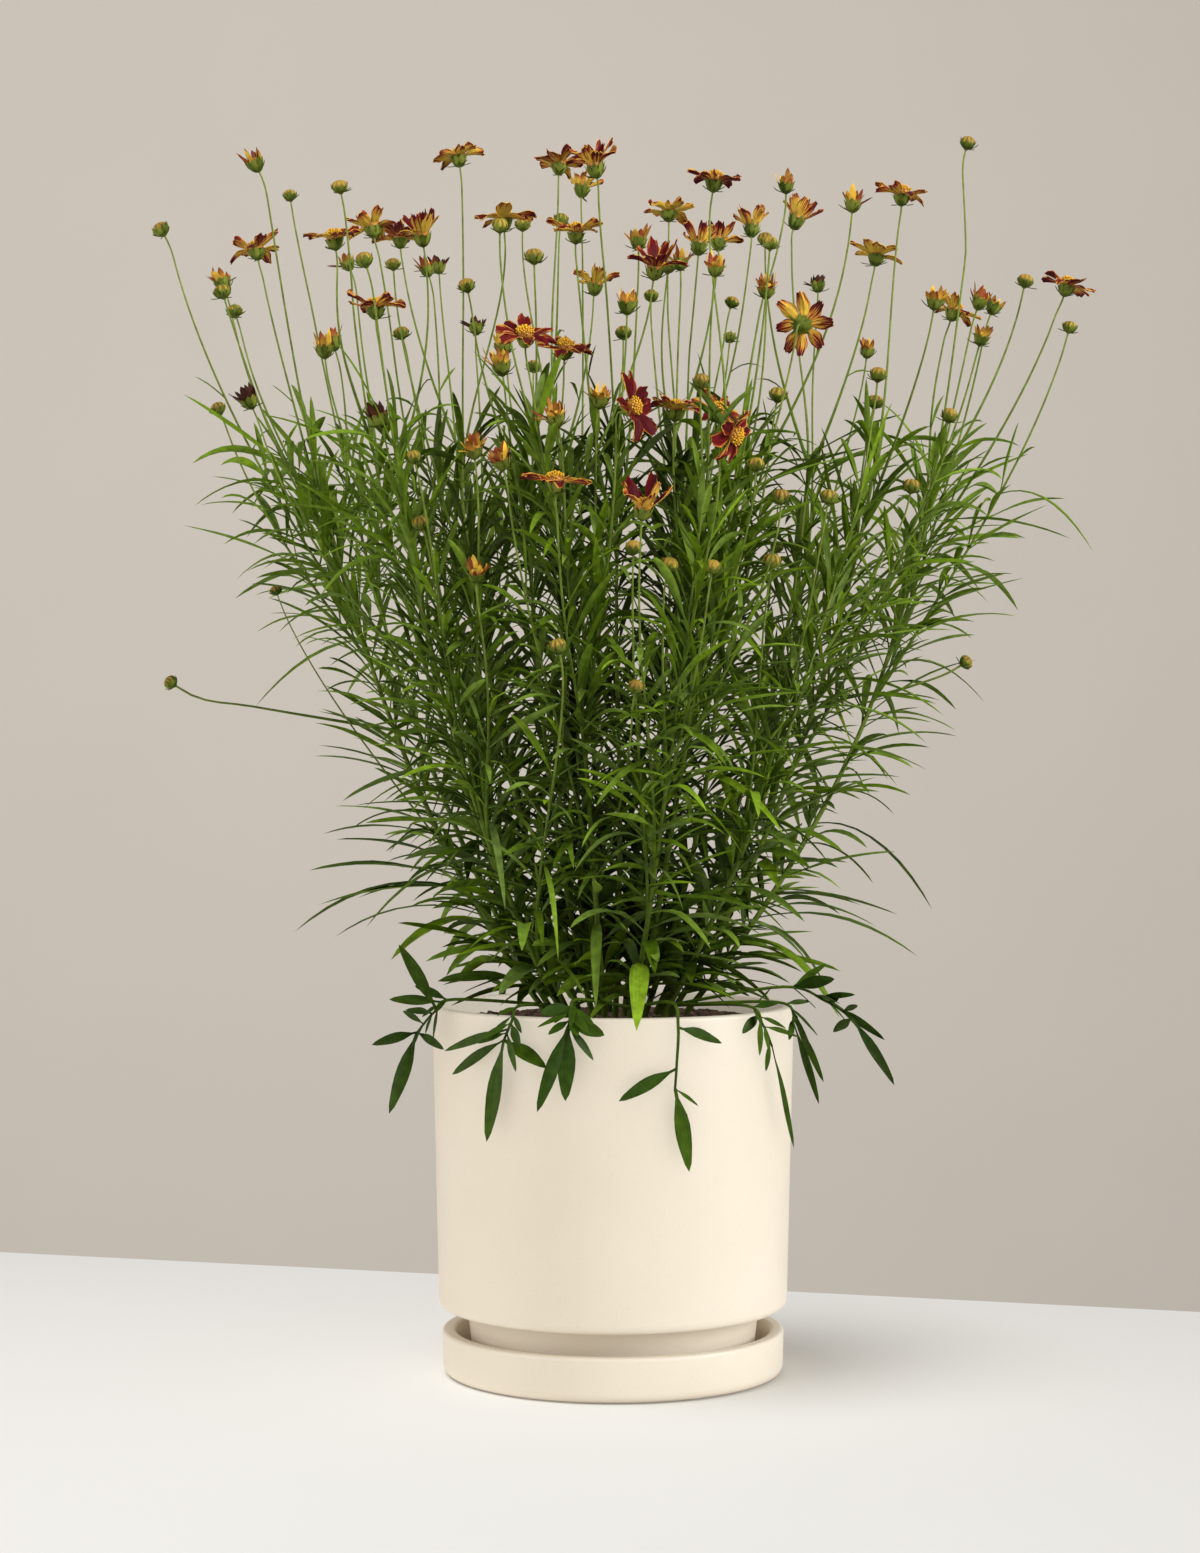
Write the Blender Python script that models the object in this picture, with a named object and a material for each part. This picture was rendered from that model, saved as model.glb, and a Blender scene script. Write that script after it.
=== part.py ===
"""A coreopsis in a cream ceramic pot with its saucer, as solids at real size.

The origin is the centre of the saucer's underside, +Z is up and -Y is the side seen in a front view.
Pot, saucer and soil are turned shapes. Each leafy stem is one solid with its leaves, flower stalks, buds
and the green cups of its flowers. Each open flower, petals with their disc, is a solid that sits in its cup.
"""

import math
import random

import bmesh
import bpy
from mathutils import Vector

MM = 0.001
SEED = 11
CLEAR = 0.3 * MM  # the gap between pieces that touch

# Pot and saucer
SIDES = 36
POT_RIM_RADIUS = 115 * MM
POT_BASE_RADIUS = 110.5 * MM
POT_RIM_HEIGHT = 233 * MM
POT_BODY_BOTTOM = 42 * MM
POT_WALL = 7 * MM
POT_EDGE_ROUND = 6 * MM
POT_FLOOR_THICKNESS = 10 * MM
FOOT_TOP_RADIUS = 92.5 * MM
FOOT_BASE_RADIUS = 89 * MM
FOOT_RING_WIDTH = 13 * MM
FOOT_RECESS = 3 * MM
DRAIN_RADIUS = 8 * MM
SAUCER_RADIUS = 108.5 * MM
SAUCER_HEIGHT = 28 * MM
SAUCER_FLOOR = 7 * MM
SAUCER_WALL = 8.5 * MM
SAUCER_EDGE_ROUND = 7 * MM
LIP_ROUND = 2.5 * MM

# Soil, and how the clump of stems spreads above it
SOIL_EDGE_HEIGHT = 223 * MM
SOIL_CROWN_RISE = 4 * MM
CROWN_RADIUS = 55 * MM
FLARE_SLOPE = 0.98
FLARE_EASE = 450 * MM
STEM_COUNT = 24
STEM_DISC = 0.9  # the outermost stem's place, where the outermost flower is about 1
STEM_SUNK = 26 * MM
STEM_RADIUS = 2.0 * MM
STEM_TOP_RADIUS = 1.4 * MM
STALK_RADIUS = 1.0 * MM
STALK_ROOT_RADIUS = 1.25 * MM
HOLE_MARGIN = 0.35 * MM
HOLE_SIDES = 5
NODE_SPACING = 30 * MM
STRAIGHT_RUN = 62 * MM  # how far apart the knots of a shoot's solid are

# Leaves
LEAF_WIDTH = 6.0 * MM
LEAF_LENGTH = 84 * MM
LEAF_KEEL = 1.0 * MM
BLADE_BEND = 0.45  # where along its length a blade's solid has its bend and is widest

# Heads
BLOOM_RADIUS = 18.5 * MM
PETALS = 8
HUB_RADIUS = 4.8 * MM
NECK = 9 * MM  # how far below its base a head's stalk starts to bend towards it

# The eye of the front view, which turns the places below into points in space
EYE_DISTANCE = 1900 * MM
EYE_HEIGHT = 378 * MM

# Every head the front view shows: its kind, how far it stands across from the pot's axis and above the
# floor, both in mm as seen on the plane of that axis, and its depth, from -1 at the front to 1 at the back.
HEADS = [
    ("bud", -286, 723, 0), ("tuft", -226, 764, -.3), ("bud", -205, 745, .5), ("bud", -174, 750, -.6),
    ("bloom", -227, 713, .3), ("bloom", -178, 720, -.5), ("bloom", -153, 727, .1), ("bloom", -135, 720, .8),
    ("cup", -122, 722, -.3), ("bloom", -98, 772, .4), ("bloom", -70, 732, -.2), ("bud", -57, 726, .6),
    ("bud", -73, 725, -.7), ("bud", -248, 683, -.4), ("tuft", -247, 688, .5), ("bud", -240, 671, .1),
    ("small", -207, 669, -.5), ("small", -189, 693, .7), ("tuft", -167, 701, .5), ("bud", -158, 703, -.8),
    ("bud", -140, 701, -.1), ("tuft", -117, 697, .3), ("tuft", -110, 699, .8), ("bud", -93, 687, -.5),
    ("bloom", -152, 676, -.7), ("tuft", -177, 650, .2), ("tuft", -184, 645, -.6), ("small", -159, 662, .6),
    ("bud", -134, 657, .0), ("tuft", -87, 660, .4), ("bloom", -57, 658, -.8), ("small", -123, 651, .8),
    ("small", -256, 645, .2), ("small", -226, 636, -.6), ("tuft", -230, 613, -.4), ("bud", -250, 609, .3),
    ("small", -113, 623, -.4), ("small", -92, 620, .6), ("tuft", -148, 601, -.7), ("small", -111, 602, -.1),
    ("tuft", -71, 634, -.6), ("tuft", -69, 647, .2), ("bud", -50, 636, .7), ("bud", -127, 578, -.85),
    ("tuft", -89, 581, -.8), ("tuft", -71, 574, -.9), ("small", -145, 645, .5), ("small", -138, 630, -.3),
    ("small", -225, 566, .4), ("bloom", -34, 767, .3), ("cup", -12, 766, -.5), ("cup", -19, 752, .7),
    ("bloom", -24, 724, -.3), ("bud", -33, 729, .5), ("bud", -51, 705, -.6), ("small", -50, 698, .1),
    ("bloom", 64, 757, -.4), ("bloom", 36, 737, .5), ("tuft", 16, 714, -.2), ("cup", 55, 716, .2),
    ("cup", 68, 718, .8), ("cup", 26, 701, -.6), ("bud", 35, 699, .3), ("tuft", 43, 701, .0),
    ("tuft", 64, 697, -.7), ("cup", 89, 727, .6), ("tuft", 110, 750, -.2), ("cup", 117, 732, .3),
    ("bud", 99, 714, -.7), ("bud", 97, 717, .1), ("tuft", 152, 738, -.4), ("bloom", 168, 709, .3),
    ("tuft", 97, 683, -.5), ("small", 85, 690, .5), ("bud", 75, 677, .1), ("small", 73, 662, -.6),
    ("bud", 75, 655, .7), ("tuft", 131, 687, .5), ("bloom", 120, 666, -.5), ("small", 100, 670, .2),
    ("small", 102, 666, -.2), ("tuft", 8, 673, -.7), ("bud", 7, 657, .4), ("bud", 25, 681, .7),
    ("small", 49, 650, .2), ("bloom", -31, 650, -.5), ("cup", -11, 690, .6), ("small", -6, 648, -.1),
    ("tuft", -10, 613, -.7), ("bloom", 10, 613, -.85), ("bloom", 39, 611, -.6), ("bud", 55, 626, -.8),
    ("bloom", 66, 610, -.55), ("bloom", 75, 596, -.9), ("bud", 104, 617, -.4), ("tuft", -36, 601, -.8),
    ("bud", 90, 573, -.8), ("bud", 106, 552, -.9), ("bud", 136, 552, -.85), ("small", 141, 614, .5),
    ("small", 136, 603, -.2), ("bloom", -38, 565, -.9), ("cup", 18, 548, -.95), ("small", 31, 578, -.7),
    ("tuft", 162, 645, .6), ("bud", 168, 630, -.5), ("bud", 166, 613, -.1), ("small", 176, 652, .3),
    ("bloom", 184, 748, -.1), ("bud", 225, 778, .1), ("tuft", 204, 676, -.5), ("bloom", 217, 674, .4),
    ("tuft", 232, 676, -.1), ("tuft", 241, 673, .6), ("tuft", 233, 653, -.7), ("bud", 262, 690, .3),
    ("bloom", 289, 690, 0), ("bud", 290, 661, -.2), ("small", 206, 657, .1), ("bud", 213, 604, -.5),
    ("small", 209, 580, .3), ("small", 237, 580, -.2), ("small", 234, 510, -.1), ("small", 250, 498, .0),
    ("small", 218, 458, -.3), ("bud", 222, 449, .1), ("bud", 189, 559, -.7), ("small", 210, 537, -.4),
    ("bud", 12, 520, -.95), ("bud", 34, 509, -.9), ("bud", 62, 508, -.95), ("bud", 100, 511, -.9),
    ("bud", 13, 432, -1), ("bud", -122, 536, -.85), ("bud", -35, 457, -1), ("small", -226, 532, -.2),
    ("small", -214, 494, -.3), ("small", -209, 445, .1), ("small", -261, 538, .0), ("small", -249, 487, -.1),
    ("bud", -279, 436, .0), ("tuft", -88, 502, -.9), ("small", -196, 566, -.4),
]

# Lobed leaves that hang over the rim, as the front view shows them. A stalk's points are how far across and
# how high each is seen, and how far it is from the pot's axis. A lobe is where it leaves its stalk, from 0 to
# 1, then its tip as for a stalk, and its width. All but the shares are in mm.
BASAL = [
    ([(-101, 236, 113), (-114, 228, 124), (-125, 215, 128)],
     [(1, -143, 163, 150, 9), (1, -154, 207, 160, 6.5), (1, -108, 204, 128, 5.5),
      (0.45, -143, 236, 150, 6.5), (0.62, -137, 271, 150, 8.5)]),
    ([(-60, 232, 113), (-65, 222, 121), (-70, 210, 122)],
     [(1, -81, 145, 124, 11), (1, -103, 188, 126, 8), (1, -43, 192, 124, 10),
      (0.8, -108, 203, 132, 6)]),
    ([(-23, 236, 112), (-27, 228, 123), (-29, 219, 128)],
     [(1, -31, 171, 129, 11), (1, -49, 164, 131, 9), (0.9, -6, 213, 128, 9), (1, -13, 197, 129, 5),
      (0.55, -47, 227, 130, 8)]),
    ([(37, 234, 112), (41, 218, 121), (40, 194, 121), (39, 179, 121)],
     [(0.5, 69, 208, 123, 8.6), (0.78, 3, 171, 123, 8), (1, 48, 126, 123, 11), (1, 54, 168, 122, 3)]),
    ([(85, 232, 114), (95, 220, 121), (101, 206, 122)],
     [(1, 115, 141, 125, 6.5), (0.9, 97, 190, 122, 4), (0.5, 82, 214, 122, 6)]),
    ([(106, 234, 116), (115, 220, 126)],
     [(1, 131, 169, 140, 6), (0.85, 134, 183, 146, 6), (0.6, 127, 201, 140, 4)]),
    ([(108, 244, 114), (135, 235, 142), (152, 224, 166)],
     [(0.38, 141, 249, 150, 8), (0.6, 154, 239, 166, 4), (0.75, 173, 210, 180, 6),
      (1, 179, 181, 184, 9), (1, 140, 215, 148, 6)]),
]

# Leaves like them round the back: which one, and how many degrees round it stands from there
BACK_LEAVES = [(1, 172), (3, 152), (2, 215), (4, 170), (0, 248)]

# Long leaves that arch out of the foot of the clump: where the tip is, how high above the soil the leaf
# leaves its stem, and its width, in mm, then its droop
LONG_LEAVES = [
    (-201, -20, 280, 78, 6.5, 0.55), (-180, 30, 274, 62, 5, 0.50), (-188, -58, 320, 84, 7, 0.25),
    (-168, 66, 298, 72, 5.5, 0.40), (-176, -6, 338, 98, 6.5, 0.22), (-122, -118, 300, 60, 8, 0.45),
    (-54, -158, 276, 52, 9, 0.50), (24, -152, 262, 48, 9, 0.55), (88, -140, 284, 58, 9, 0.45),
    (150, -92, 300, 66, 7, 0.42), (193, -12, 264, 60, 5, 0.48), (172, 42, 280, 66, 6, 0.40),
    (140, 112, 310, 74, 6.5, 0.40), (78, 156, 286, 60, 7, 0.50), (4, 176, 300, 70, 7, 0.42),
    (-70, 160, 278, 58, 7, 0.52), (-130, 116, 322, 84, 6, 0.35),
]

# Flowers that don't look up, by where they are seen: the way they face
TURNED = {(120, 666): (0.35, 0.9, 0.15), (10, 613): (0.75, -0.45, 0.2), (75, 596): (0.65, -0.45, -0.3),
          (66, 610): (0.45, -0.45, 0.75), (-57, 658): (0.0, -0.5, 0.85), (-31, 650): (0.1, -0.45, 0.9)}

SOIL_TOP = SOIL_EDGE_HEIGHT + SOIL_CROWN_RISE
UP = Vector((0, 0, 1))
GOLDEN_TURN = math.pi * (3 - math.sqrt(5))


# The clump: shoots that all spread from the crown along one family of curves

def crown_spread(height):
    """How far from the axis the outermost shoot stands, at a height above the soil."""
    height = max(height, 0.0)
    return CROWN_RADIUS + FLARE_SLOPE * height / (1 + height / FLARE_EASE)


def clump_point(place, height):
    """Where a shoot is at a height above the soil. Its place in the unit disc stays the same all the way."""
    reach = crown_spread(height)
    return Vector((place.x * reach, place.y * reach, SOIL_TOP + height))


def seen_point(across, up, depth):
    """The point in space that the front view shows there, its depth a share of the clump's own."""
    back = 0.0
    for _ in range(4):
        growth = (EYE_DISTANCE + back) / EYE_DISTANCE
        x = across * MM * growth
        z = EYE_HEIGHT + (up * MM - EYE_HEIGHT) * growth
        reach = crown_spread(z - SOIL_TOP)
        back = depth * math.sqrt(max(0.94 * reach * reach - x * x, 0.02 * reach * reach))
    return Vector((x, back, z))


class Crowd:
    """Round samples of everything placed so far, kept in cells, to keep new shoots and leaves clear."""

    CELL = 13 * MM

    def __init__(self):
        self.cells = {}

    def key(self, point):
        return tuple(math.floor(c / self.CELL) for c in point)

    def add(self, owner, samples):
        for point, radius in samples:
            self.cells.setdefault(self.key(point), []).append((point, radius, owner))

    def is_clear(self, owners, samples, gap=1.7 * MM):
        """True if no sample comes within the gap of one that belongs to somebody else."""
        for point, radius in samples:
            i, j, k = self.key(point)
            for cell in ((i + a, j + b, k + c) for a in (-1, 0, 1) for b in (-1, 0, 1) for c in (-1, 0, 1)):
                for other, other_radius, owner in self.cells.get(cell, ()):
                    if owner in owners:
                        continue
                    if (point - other).length < radius + other_radius + gap:
                        return False
        return True


class Head:
    """A bloom, cup, tuft, bud or small bud: its base, the way it faces and its size."""

    def __init__(self, kind, point, rng, turned=None):
        self.kind = kind
        self.point = point
        self.rng_turn = rng.uniform(0, math.tau)
        self.size = rng.uniform(0.88, 1.08)
        self.rise = rng.uniform(14, 30) if kind == "bloom" else rng.uniform(42, 60)
        lean = Vector((point.x, point.y, 0)) / crown_spread(point.z - SOIL_TOP) * 0.40
        shake = Vector((rng.uniform(-1, 1), rng.uniform(-1, 1), 0)) * 0.20
        if self.is_stray():
            lean = Vector((point.x, point.y, 0)).normalized() * 1.5
        self.face = (Vector(turned) if turned else UP + lean + shake).normalized()
        self.foot = point - self.face * NECK
        self.height = self.foot.z - SOIL_TOP
        self.place = Vector((self.foot.x, self.foot.y)) / crown_spread(self.height)
        self.name = ""

    def is_stray(self):
        """True for a low bud that hangs well outside the clump on a nearly level stalk."""
        reach = crown_spread(self.point.z - SOIL_TOP)
        return self.point.z < 560 * MM and self.point.to_2d().length > 1.05 * reach

    def samples(self):
        """Round samples of the petals, or of the bud, and of the top of the stalk."""
        stalk = [(clump_point(self.place, self.height - step * 5 * MM), 1.2 * MM) for step in range(7)]
        if self.kind not in ("bloom", "cup"):
            return stalk + [(self.point + self.face * 5 * MM, 5.5 * MM)]
        rise = math.tan(math.radians(self.rise))
        side = self.face.orthogonal().normalized()
        other = self.face.cross(side)
        found = stalk + [(self.point + self.face * 3 * MM, 5.5 * MM)]
        for step in range(16):
            turn = math.tau * step / 16
            out = side * math.cos(turn) + other * math.sin(turn)
            for share in (0.45, 0.75, 1.0):
                reach = BLOOM_RADIUS * self.size * share * math.cos(math.atan(rise))
                found.append((self.point + out * reach + self.face * reach * rise, 4 * MM))
        return found


class Shoot:
    """A curve through the clump: heights above the soil, the place at each, and the stalk's radius."""

    def __init__(self, start, end, place_at, radius_at):
        self.start = start
        self.end = end
        self.place_at = place_at
        self.radius_at = radius_at
        self.knots = [h for h in self.heights(STRAIGHT_RUN) if start >= 0 or h > 20 * MM]
        if start < 0:
            self.knots = [start, 0.0] + self.knots

    def at(self, height):
        if height < 0:
            foot = clump_point(self.place_at(0.0), 0.0)
            return Vector((foot.x, foot.y, SOIL_TOP + height))
        return clump_point(self.place_at(height), height)

    def along(self, height):
        step = 2 * MM
        return (self.at(height + step) - self.at(max(height - step, 0.0))).normalized()

    def heights(self, spacing):
        count = max(1, round((self.end - self.start) / spacing))
        return [self.start + (self.end - self.start) * i / count for i in range(count + 1)]

    def straight(self, height):
        """The point at a height on the straight runs between the knots."""
        for low, high in zip(self.knots, self.knots[1:]):
            if low <= height <= high:
                return self.at(low).lerp(self.at(high), (height - low) / (high - low))
        return self.at(height)

    def samples(self, spacing=3 * MM):
        """Round samples of the curve and of its straight runs."""
        heights = self.heights(spacing)
        curve = [(self.at(h), self.radius_at(h)) for h in heights]
        return curve + [(self.straight(h), self.radius_at(h)) for h in heights]


class Stem:
    """A leafy stem: its main shoot up to its tallest head, its branches and its leaves."""

    def __init__(self, number):
        self.name = f"leafy_stem_{number + 1:02d}"
        self.number = number
        share = math.sqrt((number + 0.5) / STEM_COUNT)
        turn = number * GOLDEN_TURN
        self.place = Vector((math.cos(turn), math.sin(turn))) * STEM_DISC * share
        self.heads = []
        self.main = None
        self.branches = []
        self.leaves = []
        self.basal = []


def wavy(amount, length, phase, toward):
    """A slow sway to one side, which is nothing at the soil."""
    side = Vector((math.cos(toward), math.sin(toward))) * amount

    def sway(height):
        return side * (math.sin(height / length + phase) - math.sin(phase))

    return sway


def main_shoot(stem, rng, trial):
    """The main shoot: straight in its place, then across to the place of its tallest head."""
    head = stem.heads[0]
    top = head.height
    drift = (head.place - stem.place).length * crown_spread(top)
    split = max(60 * MM, min(top - rng.uniform(150, 230) * MM, top - 2.2 * drift))
    most = 0.022 + 0.001 * trial
    sway = wavy(rng.uniform(0.008, most), rng.uniform(60, 90) * MM, rng.uniform(0, 6), rng.uniform(0, 6.3))
    fade = 60 * MM

    def place_at(height):
        share = min(max((height - split) / (top - split), 0), 1)
        share = share * share * (3 - 2 * share)
        still = min(1, max(0, (top - height) / fade))
        return stem.place.lerp(head.place, share) + sway(height) * still

    def radius_at(height):
        if height < split:
            return STEM_RADIUS + (STEM_TOP_RADIUS - STEM_RADIUS) * max(height, 0) / split
        return STEM_TOP_RADIUS + (STALK_RADIUS - STEM_TOP_RADIUS) * min(1, (height - split) / (80 * MM))

    return Shoot(-STEM_SUNK, top, place_at, radius_at)


def branch_shoot(stem, head, rng, trial):
    """A flower stalk that leaves the main shoot at a node and bends up to its own head."""
    top = head.height
    longest = stem.main.end - 45 * MM
    drift = (head.place - stem.main.place_at(min(top, longest))).length * crown_spread(top)
    root = min(top - rng.uniform(110, 230 + 4 * trial) * MM, top - 1.6 * drift, longest)
    if head.is_stray():
        root = top - rng.uniform(0.04, 0.16) * drift - 8 * MM
    root = max(root, min(25 * MM, top - 70 * MM), 12 * MM)
    start = stem.main.place_at(root)
    bend = 1.15 if head.is_stray() else rng.uniform(1.5, 2.1 + 0.01 * trial)
    most = 0.014 + 0.001 * trial
    sway = wavy(rng.uniform(0.0, most), rng.uniform(35, 60) * MM, rng.uniform(0, 6), rng.uniform(0, 6.3))

    def place_at(height):
        share = min(max((height - root) / (top - root), 0), 1)
        still = math.sin(math.pi * share)
        return start.lerp(head.place, 1 - (1 - share) ** bend) + sway(height) * still

    def radius_at(height):
        share = min(1, (height - root) / (60 * MM))
        return STALK_ROOT_RADIUS + (STALK_RADIUS - STALK_ROOT_RADIUS) * share

    return Shoot(root, top, place_at, radius_at)


class Leaf:
    """A blade along an arched midrib. Its width is nothing at the tip and narrow at the root."""

    def __init__(self, root, direction, length, width, droop, roll, facing=UP):
        self.root = root
        self.direction = direction
        self.length = length
        self.width = width
        self.droop = droop
        self.roll = roll
        self.facing = facing

    def at(self, share):
        fall = self.droop * share * share * self.length
        return self.root + self.direction * (self.length * share) - UP * fall

    def frame(self, share):
        """The midrib's direction, the blade's sideways direction and the way its upper face looks."""
        along = (self.direction - UP * (2 * self.droop * share)).normalized()
        side = along.cross(self.facing)
        side = side.normalized() if side.length > 0.05 else along.orthogonal().normalized()
        face = side.cross(along)
        turned = side * math.cos(self.roll) + face * math.sin(self.roll)
        return along, turned, turned.cross(along)

    def half_width(self, share):
        """Half the blade's width: a stalk-like root, widest before the middle, a long point."""
        if share < 0.16:
            swell = 0.22
        else:
            swell = 0.22 + 0.78 * math.sin(math.pi * min(1, (share - 0.16) / 0.84) ** 0.8)
        return 0.5 * self.width * (swell if share < 0.97 else 0.05)

    def samples(self, spacing=3 * MM):
        """Round samples of the arched blade and of its two straight runs."""
        count = max(3, round(self.length / spacing))
        found = []
        bend = self.at(BLADE_BEND)
        for i in range(count + 1):
            share = i / count
            found.append((self.at(share), self.half_width(share)))
            if share < BLADE_BEND:
                straight = self.root.lerp(bend, share / BLADE_BEND)
            else:
                straight = bend.lerp(self.at(1), (share - BLADE_BEND) / (1 - BLADE_BEND))
            found.append((straight, self.half_width(share)))
        return found


def leaf_to(root, tip, width, droop, facing):
    """A leaf whose tip is at a given point."""
    length = (tip - root).length
    return Leaf(root, (tip - root) / length + UP * droop, length, width, droop, 0.0, facing)


def seen_round(across, up, radius):
    """The point that the front view shows there, at a distance from the pot's axis on its near side."""
    back = 0.0
    for _ in range(6):
        growth = (EYE_DISTANCE + back) / EYE_DISTANCE
        x = across * MM * growth
        back = -math.sqrt(max((radius * MM) ** 2 - x * x, 0))
    return Vector((x, back, EYE_HEIGHT + (up * MM - EYE_HEIGHT) * growth))


class BasalLeaf:
    """A lobed leaf from the foot of a stem: a long stalk over the rim that bears the lobes."""

    def __init__(self, root, stalk, lobes):
        self.knots = [root] + stalk
        self.tips = lobes

    def at(self, share):
        """A smooth curve through the knots."""
        last = len(self.knots) - 1
        place = min(max(share, 0), 1) * last
        i = min(int(place), last - 1)
        t = place - i
        b, c = self.knots[i], self.knots[i + 1]
        a = self.knots[i - 1] if i > 0 else b - (c - b) * 0.5
        d = self.knots[i + 2] if i + 2 <= last else c + (c - b) * 0.5
        return (b * 2 + (c - a) * t + (a * 2 - b * 5 + c * 4 - d) * t * t
                + (b * 3 - a - c * 3 + d) * t ** 3) * 0.5

    def lobes(self):
        found = []
        for share, tip, width in self.tips:
            root = self.at(share)
            out = Vector((tip.x, tip.y, 0)).normalized()
            beside = UP.cross(out)
            facing = out + UP * 0.6 if tip.to_2d().length < 132 * MM else out * 0.35 + beside + UP * 0.3
            found.append(leaf_to(root, tip, width, 0.05, facing))
        return found

    def samples(self):
        found = [(self.at(i / 50), 1.3 * MM) for i in range(51)]
        for lobe in self.lobes():
            found += lobe.samples()
        return found


def hits_pot(samples, soil_slack=1.0 * MM):
    """True if a sample would touch the pot, its lip or the soil."""
    for point, radius in samples:
        out = point.to_2d().length
        if point.z - radius < POT_RIM_HEIGHT + 1.5 * MM and out + radius > POT_RIM_RADIUS - POT_WALL - 2 * MM:
            if out - radius < POT_RIM_RADIUS + 1.5 * MM:
                return True
        if out < POT_RIM_RADIUS and point.z - radius < SOIL_TOP + soil_slack:
            return True
    return False


def place_heads(crowd, rng):
    """Every head of the front view, moved a little in depth where its petals would meet another's."""
    heads = []
    for kind, across, up, depth in HEADS:
        trials = [depth + sign * step * 0.05 for step in range(0, 14) for sign in (1, -1)]
        trials = [t for t in trials if abs(t) <= 1.02] or [depth]
        for trial in trials:
            turned = TURNED.get((across, up))
            head = Head(kind, seen_point(across, up, trial), random.Random(f"{kind}{across}{up}"), turned)
            if crowd.is_clear((), head.samples(), 1.5 * MM):
                break
        crowd.add(head, head.samples())
        heads.append(head)
    return heads


def mirrored_heads(heads, crowd):
    """Low buds like the front ones, round the back where the front view doesn't reach."""
    found = []
    for head in heads:
        if head.kind in ("bud", "tuft") and head.place.y < -0.6 and head.point.z < 0.56:
            point = Vector((-head.point.x, -head.point.y * 0.96, head.point.z + 9 * MM))
            twin = Head(head.kind, point, random.Random(f"{point.x:.3f}"))
            if crowd.is_clear((), twin.samples(), 1.5 * MM):
                crowd.add(twin, twin.samples())
                found.append(twin)
    return found


def share_out(stems, heads, most=8):
    """Gives each head to the nearest stem that still has room, the blooms first."""
    order = sorted(heads, key=lambda h: (h.kind not in ("bloom", "cup"), -h.point.z))
    for head in order:
        open_stems = [s for s in stems if len(s.heads) < most]
        nearest = min(open_stems, key=lambda s: (s.place - head.place).length)
        nearest.heads.append(head)
    for stem in stems:
        stem.heads.sort(key=lambda h: -h.point.z)


def tip_samples(shoot):
    """Samples of a stalk up to its head's neck."""
    return shoot.samples()


def first_clear(make, stem, head, crowd, tries):
    """The first of several tries that stands clear of everything else, and if it does."""
    for trial in range(tries):
        shoot = make(trial)
        samples = tip_samples(shoot)
        if crowd.is_clear((stem, head), samples):
            root = shoot.at(shoot.start)
            free = [s for s in samples if (s[0] - root).length > 25 * MM]
            if crowd.is_clear((head,), free, 0.4 * MM):
                return shoot, True
    return shoot, False


def add_shoots(stems, crowd):
    """Main shoots first, then the stalks of the other heads, each from the nearest stem with a clear way."""
    for stem in stems:
        head = stem.heads[0]
        head.name = stem.name
        rng = random.Random(stem.number)
        stem.main, _ = first_clear(lambda n: main_shoot(stem, rng, n), stem, head, crowd, 400)
        crowd.add(stem, tip_samples(stem.main))
    waiting = [(stem, head) for stem in stems for head in stem.heads[1:]]
    for owner, head in waiting:
        near = sorted(stems, key=lambda s: (s is not owner, (s.place - head.place).length))[:6]
        for stem in near:
            rng = random.Random(stem.number * 1000 + round(head.point.z / MM))
            shoot, clear = first_clear(lambda n: branch_shoot(stem, head, rng, n), stem, head, crowd, 70)
            if clear:
                break
        crowd.add(stem, tip_samples(shoot))
        stem.branches.append((shoot, head))


def turned_round(point, degrees):
    turn = math.radians(degrees)
    return Vector((point.x * math.cos(turn) - point.y * math.sin(turn),
                   point.x * math.sin(turn) + point.y * math.cos(turn), point.z))


def basal_shapes():
    """Stalk points and lobe tips in space: those that the front view shows, then those at the back."""
    front = []
    for stalk, lobes in BASAL:
        points = [seen_round(*point) for point in stalk]
        tips = []
        for share, across, up, radius, width in lobes:
            tips.append((share, seen_round(across, up, radius), width * MM))
        front.append((points, tips))
    back = []
    for number, degrees in BACK_LEAVES:
        points, tips = front[number]
        back.append(([turned_round(p, degrees) for p in points],
                     [(share, turned_round(tip, degrees), width) for share, tip, width in tips]))
    return front + back


def add_basal_leaves(stems, crowd):
    """The lobed leaves at the foot, each from the outer stem that is nearest to where it hangs."""
    for stalk, tips in basal_shapes():
        near = sorted((s for s in stems if len(s.basal) < 3),
                      key=lambda s: (clump_point(s.place, 0) - stalk[0]).to_2d().length)
        for stem, lift in ((s, lift) for lift in (0, 3, 6, 10) for s in near[:5]):
            raised = [point + UP * lift * MM for point in stalk]
            hung = [(share, tip + UP * lift * MM, width) for share, tip, width in tips]
            leaf = BasalLeaf(stem.main.at(8 * MM), raised, hung)
            samples = leaf.samples()
            far = [s for s in samples if (s[0] - leaf.knots[0]).length > 5 * MM]
            edgeways = [(point, 0.5 * radius + 0.6 * MM) for point, radius in far]
            if crowd.is_clear((stem,), far, 1.0 * MM) and not hits_pot(edgeways, 0.5 * MM):
                stem.basal.append(leaf)
                crowd.add(stem, samples)
                break


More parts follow.
